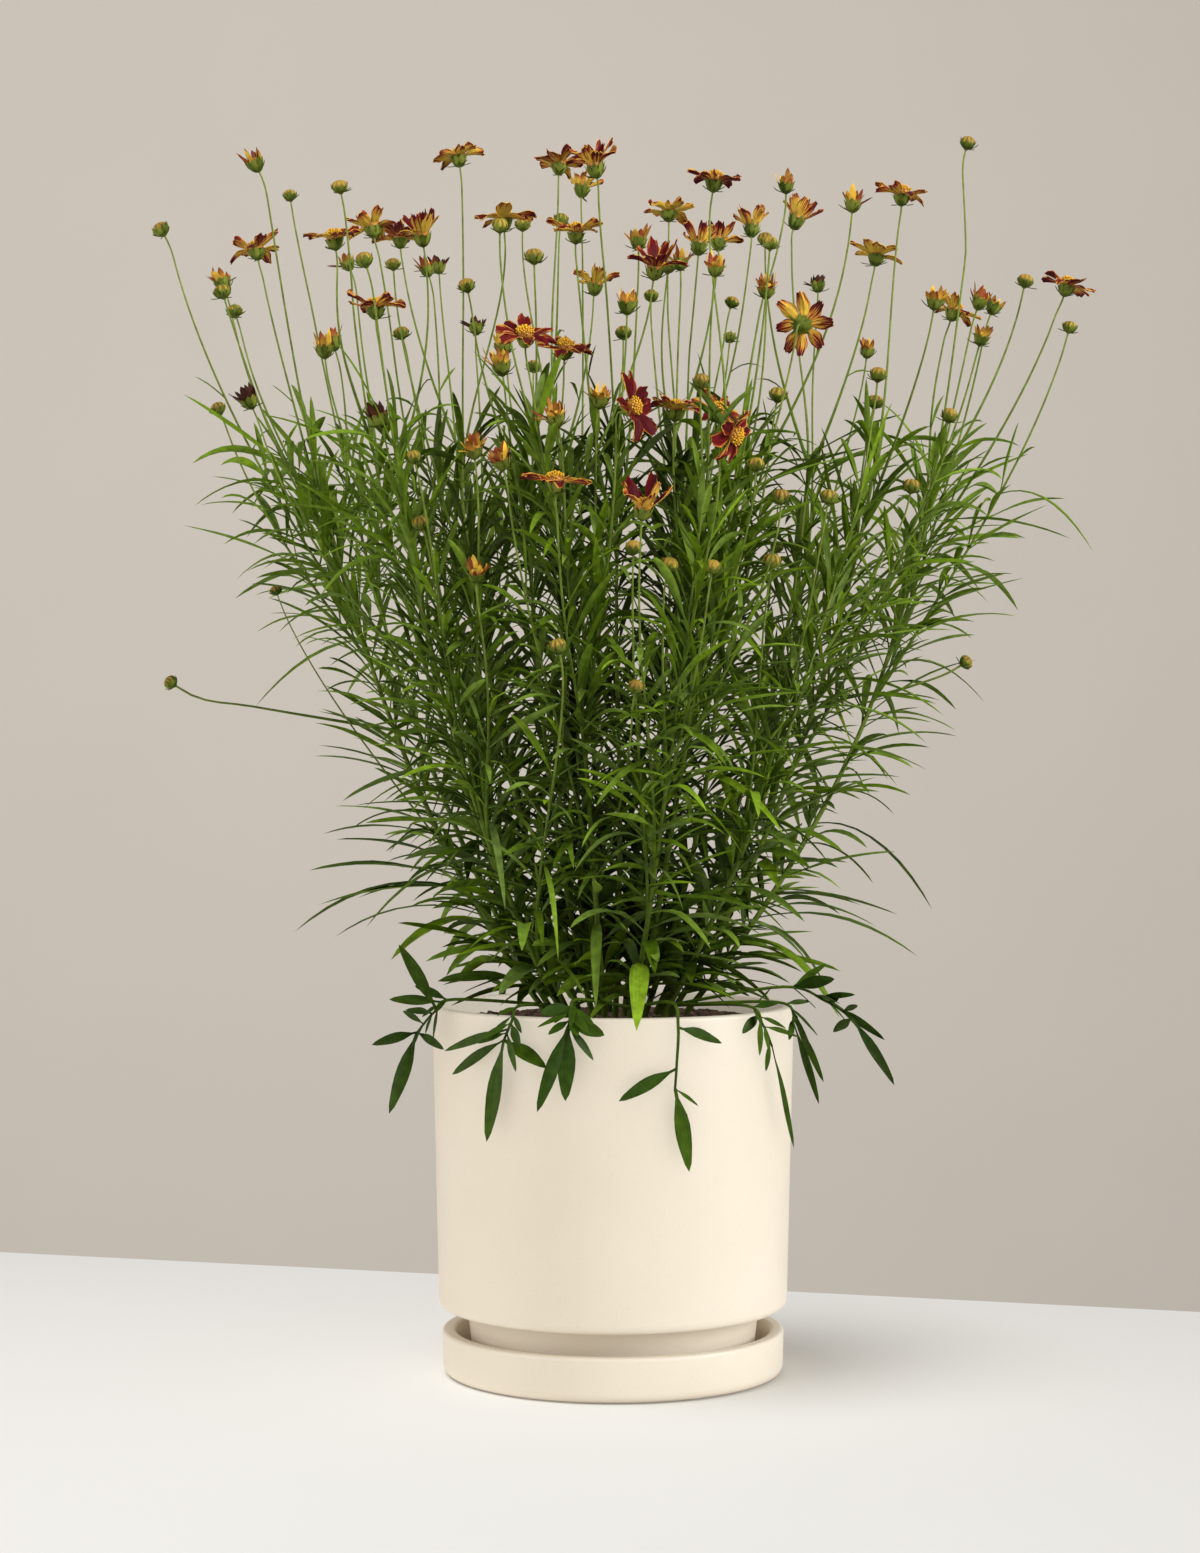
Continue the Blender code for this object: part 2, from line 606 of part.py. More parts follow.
def add_long_leaves(stems, crowd):
    """The long arching leaves low down, each from the nearest stem that can reach its place."""
    for x, y, z, height, width, droop in LONG_LEAVES:
        tip = Vector((x, y, z)) * MM
        near = sorted(stems, key=lambda s: (s.main.straight(height * MM) - tip).length)[:5]
        for stem, lower in ((s, lower) for lower in (0, 8, 16) for s in near):
            root = stem.main.straight((height - lower) * MM)
            leaf = leaf_to(root, tip, width * MM, droop, UP)
            samples = [s for s in leaf.samples() if (s[0] - root).length > 4 * MM]
            free = [s for s in samples if (s[0] - root).length > 12 * MM]
            if hits_pot(samples, 2 * MM):
                continue
            if crowd.is_clear((stem,), samples, 0.6 * MM) and crowd.is_clear((), free, 0.3 * MM):
                stem.leaves.append(leaf)
                crowd.add(stem, samples)
                break


def leaf_at(shoot, height, turn, rng, widest, spread):
    """One leaf of a pair at a node of a shoot."""
    along = shoot.along(height)
    aside = Vector((math.cos(turn), math.sin(turn), 0))
    aside = (aside - along * aside.dot(along)).normalized()
    angle = math.radians(rng.uniform(34, 62))
    direction = along * math.cos(angle) + aside * math.sin(angle)
    length = LEAF_LENGTH * spread * rng.uniform(0.8, 1.12)
    width = widest * rng.uniform(0.85, 1.15)
    return Leaf(shoot.at(height), direction, length, width, rng.uniform(0.12, 0.62), rng.uniform(-0.5, 0.5))


def leaf_scale(height):
    """How long and wide leaves are at a height: short and broad low down, narrow and short at the top."""
    share = min(height / (400 * MM), 1)
    length = 0.70 + 1.3 * share * (1 - share)
    width = LEAF_WIDTH * (0.85 + 0.85 * max(0, 1 - height / (110 * MM)))
    return length, width


def add_leaf(stem, shoot, height, turn, crowd, rng, sunk=2.5 * MM):
    """Tries a leaf at a node a few ways, each a little shorter, and keeps the first that stands clear."""
    length, width = leaf_scale(height)
    for trial in range(14):
        shorter = 1 - 0.035 * trial
        leaf = leaf_at(shoot, height, turn + rng.uniform(-0.35, 0.35), rng, width, length * shorter)
        samples = [s for s in leaf.samples() if (s[0] - leaf.root).length > sunk]
        free = [s for s in samples if (s[0] - leaf.root).length > 12 * MM]
        if hits_pot(samples, 2 * MM):
            continue
        if crowd.is_clear((stem,), samples, 1.4 * MM) and crowd.is_clear((), free, 0.3 * MM):
            crowd.add(stem, samples)
            return leaf
    return None


def add_leaves(stems, crowd, rng):
    """Pairs of leaves at every second node of the main shoots, each pair square to the one below."""
    for stem in stems:
        turn = stem.number * 1.9
        last = min(stem.main.end - 70 * MM, 390 * MM)
        height = (20 + (stem.number * 7) % 20) * MM
        while height < last:
            for hand in (0, math.pi):
                leaf = add_leaf(stem, stem.main, height, turn + hand, crowd, rng)
                if leaf is not None:
                    stem.leaves.append(leaf)
            turn += math.pi / 2 + 0.2
            height += 2.7 * NODE_SPACING


def grow_clump():
    """The whole clump. The same seed gives the same clump each time."""
    rng = random.Random(SEED)
    crowd = Crowd()
    heads = place_heads(crowd, rng)
    heads += mirrored_heads(heads, crowd)
    stems = [Stem(number) for number in range(STEM_COUNT)]
    share_out(stems, [h for h in heads if h.kind != "small"])
    add_shoots(stems, crowd)
    add_basal_leaves(stems, crowd)
    add_long_leaves(stems, crowd)
    add_leaves(stems, crowd, rng)
    return stems, crowd


# Solids

def finished(bm, name, material):
    """A mesh object from a bmesh, its faces pointing out."""
    bmesh.ops.recalc_face_normals(bm, faces=bm.faces)
    mesh = bpy.data.meshes.new(name)
    bm.to_mesh(mesh)
    bm.free()
    mesh.materials.append(material)
    item = bpy.data.objects.new(name, mesh)
    bpy.context.collection.objects.link(item)
    return item


def paint(name, colour, roughness):
    material = bpy.data.materials.new(name)
    material.use_nodes = True
    shader = material.node_tree.nodes["Principled BSDF"]
    shader.inputs["Base Color"].default_value = (*colour, 1)
    shader.inputs["Roughness"].default_value = roughness
    shader.inputs["Metallic"].default_value = 0
    return material


def bridge(bm, low, high):
    """A band of faces between two rings, or between a ring and a point."""
    if len(high) == 1:
        for i, corner in enumerate(low):
            bm.faces.new((corner, low[(i + 1) % len(low)], high[0]))
        return
    i = j = 0
    while i < len(low) or j < len(high):
        if (i + 1) * len(high) <= (j + 1) * len(low):
            bm.faces.new((low[i], low[(i + 1) % len(low)], high[j % len(high)]))
            i += 1
        else:
            bm.faces.new((low[i % len(low)], high[(j + 1) % len(high)], high[j]))
            j += 1


def loft(bm, rings):
    """A closed body through rings of points. A ring of one point closes an end to a tip."""
    made = [[bm.verts.new(point) for point in ring] for ring in rings]
    for low, high in zip(made, made[1:]):
        bridge(bm, low, high)
    for end in (made[0], made[-1]):
        if len(end) > 2:
            bm.faces.new(end)


def ring_round(centre, side, other, radius, sides):
    if radius == 0:
        return [centre]
    turns = [math.tau * i / sides for i in range(sides)]
    return [centre + (side * math.cos(t) + other * math.sin(t)) * radius for t in turns]


def rings_along(stations):
    """Rings round a path of (centre, direction, radius, sides), without twist."""
    side = stations[0][1].orthogonal().normalized()
    rings = []
    for centre, direction, radius, sides in stations:
        side = (side - direction * side.dot(direction)).normalized()
        rings.append(ring_round(centre, side, direction.cross(side), radius, sides))
    return rings


def turned(name, profile, material, on_axis):
    """A body of revolution from (radius, height) points, closed on the axis or a ring round it."""
    bm = bmesh.new()
    rings = [
        ring_round(Vector((0, 0, z)), Vector((1, 0, 0)), Vector((0, 1, 0)), r, SIDES) for r, z in profile
    ]
    made = [[bm.verts.new(point) for point in ring] for ring in rings]
    pairs = list(zip(made, made[1:]))
    if not on_axis:
        pairs.append((made[-1], made[0]))
    for low, high in pairs:
        if len(low) == 1:
            low, high = high, low
        bridge(bm, low, high)
    item = finished(bm, name, material)
    item.data.shade_smooth()
    item.data.set_sharp_from_angle(angle=math.radians(40))
    return item


def rounded(corner_in, corner, corner_out, radius, steps=2):
    """Points of a round at a corner between two neighbours of a profile."""
    start = corner + (corner_in - corner).normalized() * radius
    end = corner + (corner_out - corner).normalized() * radius
    points = []
    for i in range(steps + 1):
        share = i / steps
        points.append(start * (1 - share) ** 2 + corner * 2 * share * (1 - share) + end * share ** 2)
    return points


def softened(profile, closed):
    """A profile of (radius, height, round) with its rounds drawn in."""
    points = []
    count = len(profile)
    for i, (r, z, radius) in enumerate(profile):
        corner = Vector((r, z))
        if radius == 0 or (not closed and i in (0, count - 1)):
            points.append(corner)
            continue
        before = Vector(profile[i - 1][:2])
        after = Vector(profile[(i + 1) % count][:2])
        points += rounded(before, corner, after, radius)
    return [(p.x, p.y) for p in points]


def pot_radius(z):
    """The outer radius of the pot's body at a height."""
    share = (z - POT_BODY_BOTTOM) / (POT_RIM_HEIGHT - POT_BODY_BOTTOM)
    return POT_BASE_RADIUS + (POT_RIM_RADIUS - POT_BASE_RADIUS) * share


POT_FOOT_BOTTOM = SAUCER_FLOOR + CLEAR
POT_FLOOR_BOTTOM = POT_FOOT_BOTTOM + FOOT_RECESS
POT_FLOOR_TOP = POT_FLOOR_BOTTOM + POT_FLOOR_THICKNESS
POT_STEP_HEIGHT = POT_BODY_BOTTOM + POT_WALL
FOOT_INNER_RADIUS = FOOT_BASE_RADIUS - POT_WALL


def build_pot(material):
    step_radius = pot_radius(POT_STEP_HEIGHT) - POT_WALL
    profile = [
        (DRAIN_RADIUS, POT_FLOOR_BOTTOM, 0),
        (FOOT_BASE_RADIUS - FOOT_RING_WIDTH, POT_FLOOR_BOTTOM, 0),
        (FOOT_BASE_RADIUS - FOOT_RING_WIDTH, POT_FOOT_BOTTOM, 0),
        (FOOT_BASE_RADIUS, POT_FOOT_BOTTOM, 0),
        (FOOT_TOP_RADIUS, POT_BODY_BOTTOM, 0),
        (POT_BASE_RADIUS, POT_BODY_BOTTOM, POT_EDGE_ROUND),
        (POT_RIM_RADIUS, POT_RIM_HEIGHT, LIP_ROUND),
        (POT_RIM_RADIUS - POT_WALL, POT_RIM_HEIGHT, LIP_ROUND),
        (step_radius, POT_STEP_HEIGHT, 0),
        (FOOT_INNER_RADIUS, POT_STEP_HEIGHT - 4 * MM, 0),
        (FOOT_INNER_RADIUS - 1 * MM, POT_FLOOR_TOP, 0),
        (DRAIN_RADIUS, POT_FLOOR_TOP, 0),
    ]
    return turned("pot", softened(profile, True), material, False)


def build_saucer(material):
    inner = SAUCER_RADIUS - SAUCER_WALL
    profile = [
        (0, 0, 0),
        (SAUCER_RADIUS - SAUCER_EDGE_ROUND, 0, 0),
        (SAUCER_RADIUS - 0.6 * MM, 0, SAUCER_EDGE_ROUND),
        (SAUCER_RADIUS, SAUCER_HEIGHT, LIP_ROUND),
        (inner, SAUCER_HEIGHT, LIP_ROUND),
        (inner - 2 * MM, SAUCER_FLOOR, 3 * MM),
        (0, SAUCER_FLOOR, 0),
    ]
    del profile[1]
    return turned("saucer", softened(profile, False), material, True)


def build_soil(material, stems):
    """Soil down to the pot's floor, slightly mounded, with a plain hole for each stem."""
    step_radius = pot_radius(POT_STEP_HEIGHT) - POT_WALL - CLEAR
    edge_radius = pot_radius(SOIL_EDGE_HEIGHT) - POT_WALL - CLEAR
    profile = [
        (0, POT_FLOOR_TOP + CLEAR),
        (FOOT_INNER_RADIUS - 1 * MM - CLEAR, POT_FLOOR_TOP + CLEAR),
        (FOOT_INNER_RADIUS - CLEAR, POT_STEP_HEIGHT - 4 * MM + 1.2 * CLEAR),
        (step_radius, POT_STEP_HEIGHT + 1.2 * CLEAR),
        (edge_radius, SOIL_EDGE_HEIGHT - 2 * MM),
        (edge_radius - 6 * MM, SOIL_EDGE_HEIGHT),
        (66 * MM, SOIL_TOP),
        (0, SOIL_TOP),
    ]
    item = turned("soil", profile, material, True)
    bm = bmesh.new()
    for stem in stems:
        foot = stem.main.at(0)
        radius = (STEM_RADIUS + HOLE_MARGIN) / math.cos(math.pi / HOLE_SIDES)
        rings = []
        for z in (SOIL_TOP - STEM_SUNK - CLEAR, SOIL_TOP + 5 * MM):
            centre = Vector((foot.x, foot.y, z))
            rings.append(ring_round(centre, Vector((1, 0, 0)), Vector((0, 1, 0)), radius, HOLE_SIDES))
        loft(bm, rings)
    cutter = finished(bm, "stem_holes", material)
    combine(item, [cutter], "DIFFERENCE", "EXACT")
    return item


def combine(item, others, operation, solver):
    """One Boolean with a collection of others, applied, and the collection's objects removed."""
    tools = bpy.data.collections.new("tools")
    bpy.context.scene.collection.children.link(tools)
    for other in others:
        bpy.context.collection.objects.unlink(other)
        tools.objects.link(other)
    boolean = item.modifiers.new("combine", "BOOLEAN")
    boolean.operation = operation
    boolean.operand_type = "COLLECTION"
    boolean.collection = tools
    boolean.solver = solver
    bpy.context.view_layer.update()
    with bpy.context.temp_override(object=item, active_object=item, selected_objects=[item]):
        bpy.ops.object.modifier_apply(modifier=boolean.name)
    for other in others:
        bpy.data.objects.remove(other, do_unlink=True)
    bpy.data.collections.remove(tools)


# A blade's section inside the shoot that it grows from
ROOT_HALF = 0.5 * MM
ROOT_KEEL = 0.6 * MM


def blade_rings(leaf, shares, keel=LEAF_KEEL, root=None):
    """Three-cornered sections of a blade: its two edges and the keel under its midrib."""
    rings = []
    for share in shares:
        centre = leaf.at(share)
        if share == 0:
            _, side, face = leaf.frame(0)
            middle = (root or centre) + face * 0.2 * MM
            rings.append([middle - side * ROOT_HALF, middle + side * ROOT_HALF, middle - face * ROOT_KEEL])
            continue
        if share == 1:
            rings.append([centre])
            continue
        along, side, face = leaf.frame(share)
        half = max(leaf.half_width(share), 0.7 * MM)
        rings.append([centre - side * half, centre + side * half, centre - face * keel])
    return rings


def head_stations(head):
    """Stations of what tops a stalk: the neck, then a bud, a tuft or a flower's green cup."""
    point, face = head.point, head.face
    if head.kind in ("bloom", "cup"):
        shape = [(-6.5, 1.2, 3), (0, 5.2, 5)]
    elif head.kind == "tuft":
        shape = [(-1, 1.3, 3), (5, 5.6, 4), (13, 2.8, 4)]
    else:
        shape = [(-1, 1.3, 3), (4.5, 5.6, 4), (10, 0, 4)]
    size = head.size if head.kind not in ("bloom", "cup") else 1
    return [(point + face * (z * size * MM), face, r * size * MM, sides) for z, r, sides in shape]


def foot_station(shoot, head):
    """The station at the foot of a head's neck, which only a head that doesn't look up needs."""
    if head.face.z > 0.75:
        return []
    return [(head.foot, shoot.along(shoot.end).lerp(head.face, 0.5).normalized(), STALK_RADIUS, 3)]


def shoot_stations(shoot, head):
    stations = []
    for height in shoot.knots[:-1]:
        direction = UP if height <= 0 else shoot.along(height)
        stations.append((shoot.at(height), direction, shoot.radius_at(height), 3))
    return stations + foot_station(shoot, head) + head_stations(head)


def build_stem(stem, material):
    """A leafy stem as one solid: the main shoot with its leaves, stalks and buds united."""
    bm = bmesh.new()
    shoot = stem.main
    loft(bm, rings_along(shoot_stations(shoot, stem.heads[0])))
    item = finished(bm, stem.name, material)
    parts = []
    for branch, head in stem.branches:
        bm = bmesh.new()
        stations = shoot_stations(branch, head)
        stations[0] = (shoot.straight(branch.start), stations[0][1], 0.8 * MM, 3)
        loft(bm, rings_along(stations))
        parts.append(finished(bm, "stalk", material))
    for leaf in stem.leaves:
        bm = bmesh.new()
        root = shoot.straight(leaf.root.z - SOIL_TOP)
        loft(bm, blade_rings(leaf, (0, BLADE_BEND, 1), root=root))
        parts.append(finished(bm, "leaf", material))
    for basal in stem.basal:
        bm = bmesh.new()
        count = 2 * (len(basal.knots) - 1)
        shares = [i / count for i in range(count + 1)]
        stations = [(basal.at(s), (basal.at(s + 0.01) - basal.at(s - 0.01)).normalized(), 1.1 * MM, 3)
                    for s in shares]
        loft(bm, rings_along(stations))
        parts.append(finished(bm, "petiole", material))
        for lobe in basal.lobes():
            bm = bmesh.new()
            loft(bm, blade_rings(lobe, (0, BLADE_BEND, 1), 1.2 * MM))
            parts.append(finished(bm, "lobe", material))
    combine(item, parts, "UNION", "MANIFOLD")
    return item


def build_bloom(number, head, material):
    """An open flower: eight blunt petals round a domed disc, all one body."""
    rise = math.radians(head.rise)
    face = head.face
    side = face.orthogonal().normalized()
    other = face.cross(side)
    base = head.point + face * CLEAR
    radius = BLOOM_RADIUS * head.size
    thick = 1.0 * MM
    bm = bmesh.new()

    def out(angle, reach, lift):
        return base + (side * math.cos(angle) + other * math.sin(angle)) * reach + face * lift

    step = math.tau / PETALS
    corners = [(head.rng_turn + step * (i - 0.5)) for i in range(PETALS)]
    low = [bm.verts.new(out(a, HUB_RADIUS, 0)) for a in corners]
    high = [bm.verts.new(out(a, HUB_RADIUS, thick * 1.6)) for a in corners]
    dome = bm.verts.new(out(0, 0, 4.5 * MM))
    foot = bm.verts.new(out(0, 0, 0))
    for i in range(PETALS):
        j = (i + 1) % PETALS
        bm.faces.new((high[i], high[j], dome))
        bm.faces.new((low[j], low[i], foot))
        middle = corners[i] + step / 2
        reach = (radius - HUB_RADIUS) * math.cos(rise) + HUB_RADIUS
        lift = (radius - HUB_RADIUS) * math.sin(rise)
        spread = math.atan2(6.3 * MM * head.size * (1 if head.kind == "bloom" else 0.8), reach)
        tips = [bm.verts.new(out(middle + s * spread, reach, lift + t)) for t in (0, thick) for s in (-1, 1)]
        a, b, c, d = tips
        bm.faces.new((low[i], low[j], b, a))
        bm.faces.new((high[j], high[i], c, d))
        bm.faces.new((a, b, d, c))
        bm.faces.new((low[i], a, c, high[i]))
        bm.faces.new((low[j], high[j], d, b))
    bmesh.ops.triangulate(bm, faces=bm.faces)
    return finished(bm, f"bloom_{number:02d}", material)


def main():
    for item in list(bpy.data.objects):
        bpy.data.objects.remove(item, do_unlink=True)
    glaze = paint("cream_glaze", (0.80, 0.70, 0.52), 0.35)
    bark = paint("bark_soil", (0.13, 0.07, 0.04), 0.95)
    green = paint("foliage_green", (0.13, 0.20, 0.05), 0.6)
    red = paint("petal_red", (0.42, 0.05, 0.02), 0.6)
    stems, _ = grow_clump()
    build_pot(glaze)
    build_saucer(glaze)
    build_soil(bark, stems)
    number = 0
    for stem in stems:
        build_stem(stem, green)
        for head in stem.heads:
            if head.kind in ("bloom", "cup"):
                number += 1
                build_bloom(number, head, red)


main()
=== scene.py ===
"""A picture of the potted coreopsis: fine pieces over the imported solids, in a plain pale studio.

The clump is grown by the same rules and seeds as the solids, so each fine stem and flower lies on its solid.
"""

import math
import random

import bmesh
import bpy
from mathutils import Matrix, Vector
from mathutils import noise as noise_vector

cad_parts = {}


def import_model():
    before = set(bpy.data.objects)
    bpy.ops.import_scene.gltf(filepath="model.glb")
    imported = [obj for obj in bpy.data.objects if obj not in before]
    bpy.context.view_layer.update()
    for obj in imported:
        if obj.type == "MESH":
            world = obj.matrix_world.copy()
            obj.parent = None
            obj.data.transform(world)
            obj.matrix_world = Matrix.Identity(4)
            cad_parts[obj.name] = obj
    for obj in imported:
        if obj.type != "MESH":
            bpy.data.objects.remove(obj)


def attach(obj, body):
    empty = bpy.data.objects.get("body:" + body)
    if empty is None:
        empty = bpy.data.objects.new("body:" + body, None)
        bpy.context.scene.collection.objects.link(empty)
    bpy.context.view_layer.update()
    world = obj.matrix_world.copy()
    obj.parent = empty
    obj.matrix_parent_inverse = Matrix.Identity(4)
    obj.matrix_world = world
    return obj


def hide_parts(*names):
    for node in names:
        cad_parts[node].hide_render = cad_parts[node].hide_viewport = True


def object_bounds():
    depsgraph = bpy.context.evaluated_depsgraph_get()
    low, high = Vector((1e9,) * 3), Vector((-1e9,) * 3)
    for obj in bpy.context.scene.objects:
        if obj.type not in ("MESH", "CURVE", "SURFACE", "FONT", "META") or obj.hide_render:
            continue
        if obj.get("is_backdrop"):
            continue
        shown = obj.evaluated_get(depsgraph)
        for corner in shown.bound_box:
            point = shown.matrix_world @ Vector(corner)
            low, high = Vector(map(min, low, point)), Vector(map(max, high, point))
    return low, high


MM = 0.001
SEED = 11
CLEAR = 0.3 * MM  # the gap between pieces that touch

# Pot and saucer
POT_RIM_RADIUS = 115 * MM
POT_BASE_RADIUS = 110.5 * MM
POT_RIM_HEIGHT = 233 * MM
POT_BODY_BOTTOM = 42 * MM
POT_WALL = 7 * MM
POT_EDGE_ROUND = 6 * MM
POT_FLOOR_THICKNESS = 10 * MM
FOOT_TOP_RADIUS = 92.5 * MM
FOOT_BASE_RADIUS = 89 * MM
FOOT_RING_WIDTH = 13 * MM
FOOT_RECESS = 3 * MM
DRAIN_RADIUS = 8 * MM
SAUCER_RADIUS = 108.5 * MM
SAUCER_HEIGHT = 28 * MM
SAUCER_FLOOR = 7 * MM
SAUCER_WALL = 8.5 * MM
SAUCER_EDGE_ROUND = 7 * MM
LIP_ROUND = 2.5 * MM

# Soil, and how the clump of stems spreads above it
SOIL_EDGE_HEIGHT = 223 * MM
SOIL_CROWN_RISE = 4 * MM
CROWN_RADIUS = 55 * MM
FLARE_SLOPE = 0.98
FLARE_EASE = 450 * MM
STEM_COUNT = 24
STEM_DISC = 0.9  # the outermost stem's place, where the outermost flower is about 1
STEM_SUNK = 26 * MM
STEM_RADIUS = 2.0 * MM
STEM_TOP_RADIUS = 1.4 * MM
STALK_RADIUS = 1.0 * MM
STALK_ROOT_RADIUS = 1.25 * MM
SMALL_STALK_RADIUS = 0.75 * MM
NODE_SPACING = 30 * MM
STRAIGHT_RUN = 62 * MM  # how far apart the knots of a shoot's solid are

# Leaves
LEAF_WIDTH = 6.0 * MM
LEAF_LENGTH = 84 * MM
BLADE_BEND = 0.45  # where along its length a blade's solid has its bend and is widest

# Heads
BLOOM_RADIUS = 18.5 * MM
PETALS = 8
HUB_RADIUS = 4.8 * MM
NECK = 9 * MM  # how far below its base a head's stalk starts to bend towards it

# The eye of the front view, which turns the places below into points in space
EYE_DISTANCE = 1900 * MM
EYE_HEIGHT = 378 * MM

# Every head the front view shows: its kind, how far it stands across from the pot's axis and above the
# floor, both in mm as seen on the plane of that axis, and its depth, from -1 at the front to 1 at the back.
HEADS = [
    ("bud", -286, 723, 0), ("tuft", -226, 764, -.3), ("bud", -205, 745, .5), ("bud", -174, 750, -.6),
    ("bloom", -227, 713, .3), ("bloom", -178, 720, -.5), ("bloom", -153, 727, .1), ("bloom", -135, 720, .8),
    ("cup", -122, 722, -.3), ("bloom", -98, 772, .4), ("bloom", -70, 732, -.2), ("bud", -57, 726, .6),
    ("bud", -73, 725, -.7), ("bud", -248, 683, -.4), ("tuft", -247, 688, .5), ("bud", -240, 671, .1),
    ("small", -207, 669, -.5), ("small", -189, 693, .7), ("tuft", -167, 701, .5), ("bud", -158, 703, -.8),
    ("bud", -140, 701, -.1), ("tuft", -117, 697, .3), ("tuft", -110, 699, .8), ("bud", -93, 687, -.5),
    ("bloom", -152, 676, -.7), ("tuft", -177, 650, .2), ("tuft", -184, 645, -.6), ("small", -159, 662, .6),
    ("bud", -134, 657, .0), ("tuft", -87, 660, .4), ("bloom", -57, 658, -.8), ("small", -123, 651, .8),
    ("small", -256, 645, .2), ("small", -226, 636, -.6), ("tuft", -230, 613, -.4), ("bud", -250, 609, .3),
    ("small", -113, 623, -.4), ("small", -92, 620, .6), ("tuft", -148, 601, -.7), ("small", -111, 602, -.1),
    ("tuft", -71, 634, -.6), ("tuft", -69, 647, .2), ("bud", -50, 636, .7), ("bud", -127, 578, -.85),
    ("tuft", -89, 581, -.8), ("tuft", -71, 574, -.9), ("small", -145, 645, .5), ("small", -138, 630, -.3),
    ("small", -225, 566, .4), ("bloom", -34, 767, .3), ("cup", -12, 766, -.5), ("cup", -19, 752, .7),
    ("bloom", -24, 724, -.3), ("bud", -33, 729, .5), ("bud", -51, 705, -.6), ("small", -50, 698, .1),
    ("bloom", 64, 757, -.4), ("bloom", 36, 737, .5), ("tuft", 16, 714, -.2), ("cup", 55, 716, .2),
    ("cup", 68, 718, .8), ("cup", 26, 701, -.6), ("bud", 35, 699, .3), ("tuft", 43, 701, .0),
    ("tuft", 64, 697, -.7), ("cup", 89, 727, .6), ("tuft", 110, 750, -.2), ("cup", 117, 732, .3),
    ("bud", 99, 714, -.7), ("bud", 97, 717, .1), ("tuft", 152, 738, -.4), ("bloom", 168, 709, .3),
    ("tuft", 97, 683, -.5), ("small", 85, 690, .5), ("bud", 75, 677, .1), ("small", 73, 662, -.6),
    ("bud", 75, 655, .7), ("tuft", 131, 687, .5), ("bloom", 120, 666, -.5), ("small", 100, 670, .2),
    ("small", 102, 666, -.2), ("tuft", 8, 673, -.7), ("bud", 7, 657, .4), ("bud", 25, 681, .7),
    ("small", 49, 650, .2), ("bloom", -31, 650, -.5), ("cup", -11, 690, .6), ("small", -6, 648, -.1),
    ("tuft", -10, 613, -.7), ("bloom", 10, 613, -.85), ("bloom", 39, 611, -.6), ("bud", 55, 626, -.8),
    ("bloom", 66, 610, -.55), ("bloom", 75, 596, -.9), ("bud", 104, 617, -.4), ("tuft", -36, 601, -.8),
    ("bud", 90, 573, -.8), ("bud", 106, 552, -.9), ("bud", 136, 552, -.85), ("small", 141, 614, .5),
    ("small", 136, 603, -.2), ("bloom", -38, 565, -.9), ("cup", 18, 548, -.95), ("small", 31, 578, -.7),
    ("tuft", 162, 645, .6), ("bud", 168, 630, -.5), ("bud", 166, 613, -.1), ("small", 176, 652, .3),
    ("bloom", 184, 748, -.1), ("bud", 225, 778, .1), ("tuft", 204, 676, -.5), ("bloom", 217, 674, .4),
    ("tuft", 232, 676, -.1), ("tuft", 241, 673, .6), ("tuft", 233, 653, -.7), ("bud", 262, 690, .3),
    ("bloom", 289, 690, 0), ("bud", 290, 661, -.2), ("small", 206, 657, .1), ("bud", 213, 604, -.5),
    ("small", 209, 580, .3), ("small", 237, 580, -.2), ("small", 234, 510, -.1), ("small", 250, 498, .0),
    ("small", 218, 458, -.3), ("bud", 222, 449, .1), ("bud", 189, 559, -.7), ("small", 210, 537, -.4),
    ("bud", 12, 520, -.95), ("bud", 34, 509, -.9), ("bud", 62, 508, -.95), ("bud", 100, 511, -.9),
    ("bud", 13, 432, -1), ("bud", -122, 536, -.85), ("bud", -35, 457, -1), ("small", -226, 532, -.2),
    ("small", -214, 494, -.3), ("small", -209, 445, .1), ("small", -261, 538, .0), ("small", -249, 487, -.1),
    ("bud", -279, 436, .0), ("tuft", -88, 502, -.9), ("small", -196, 566, -.4),
]

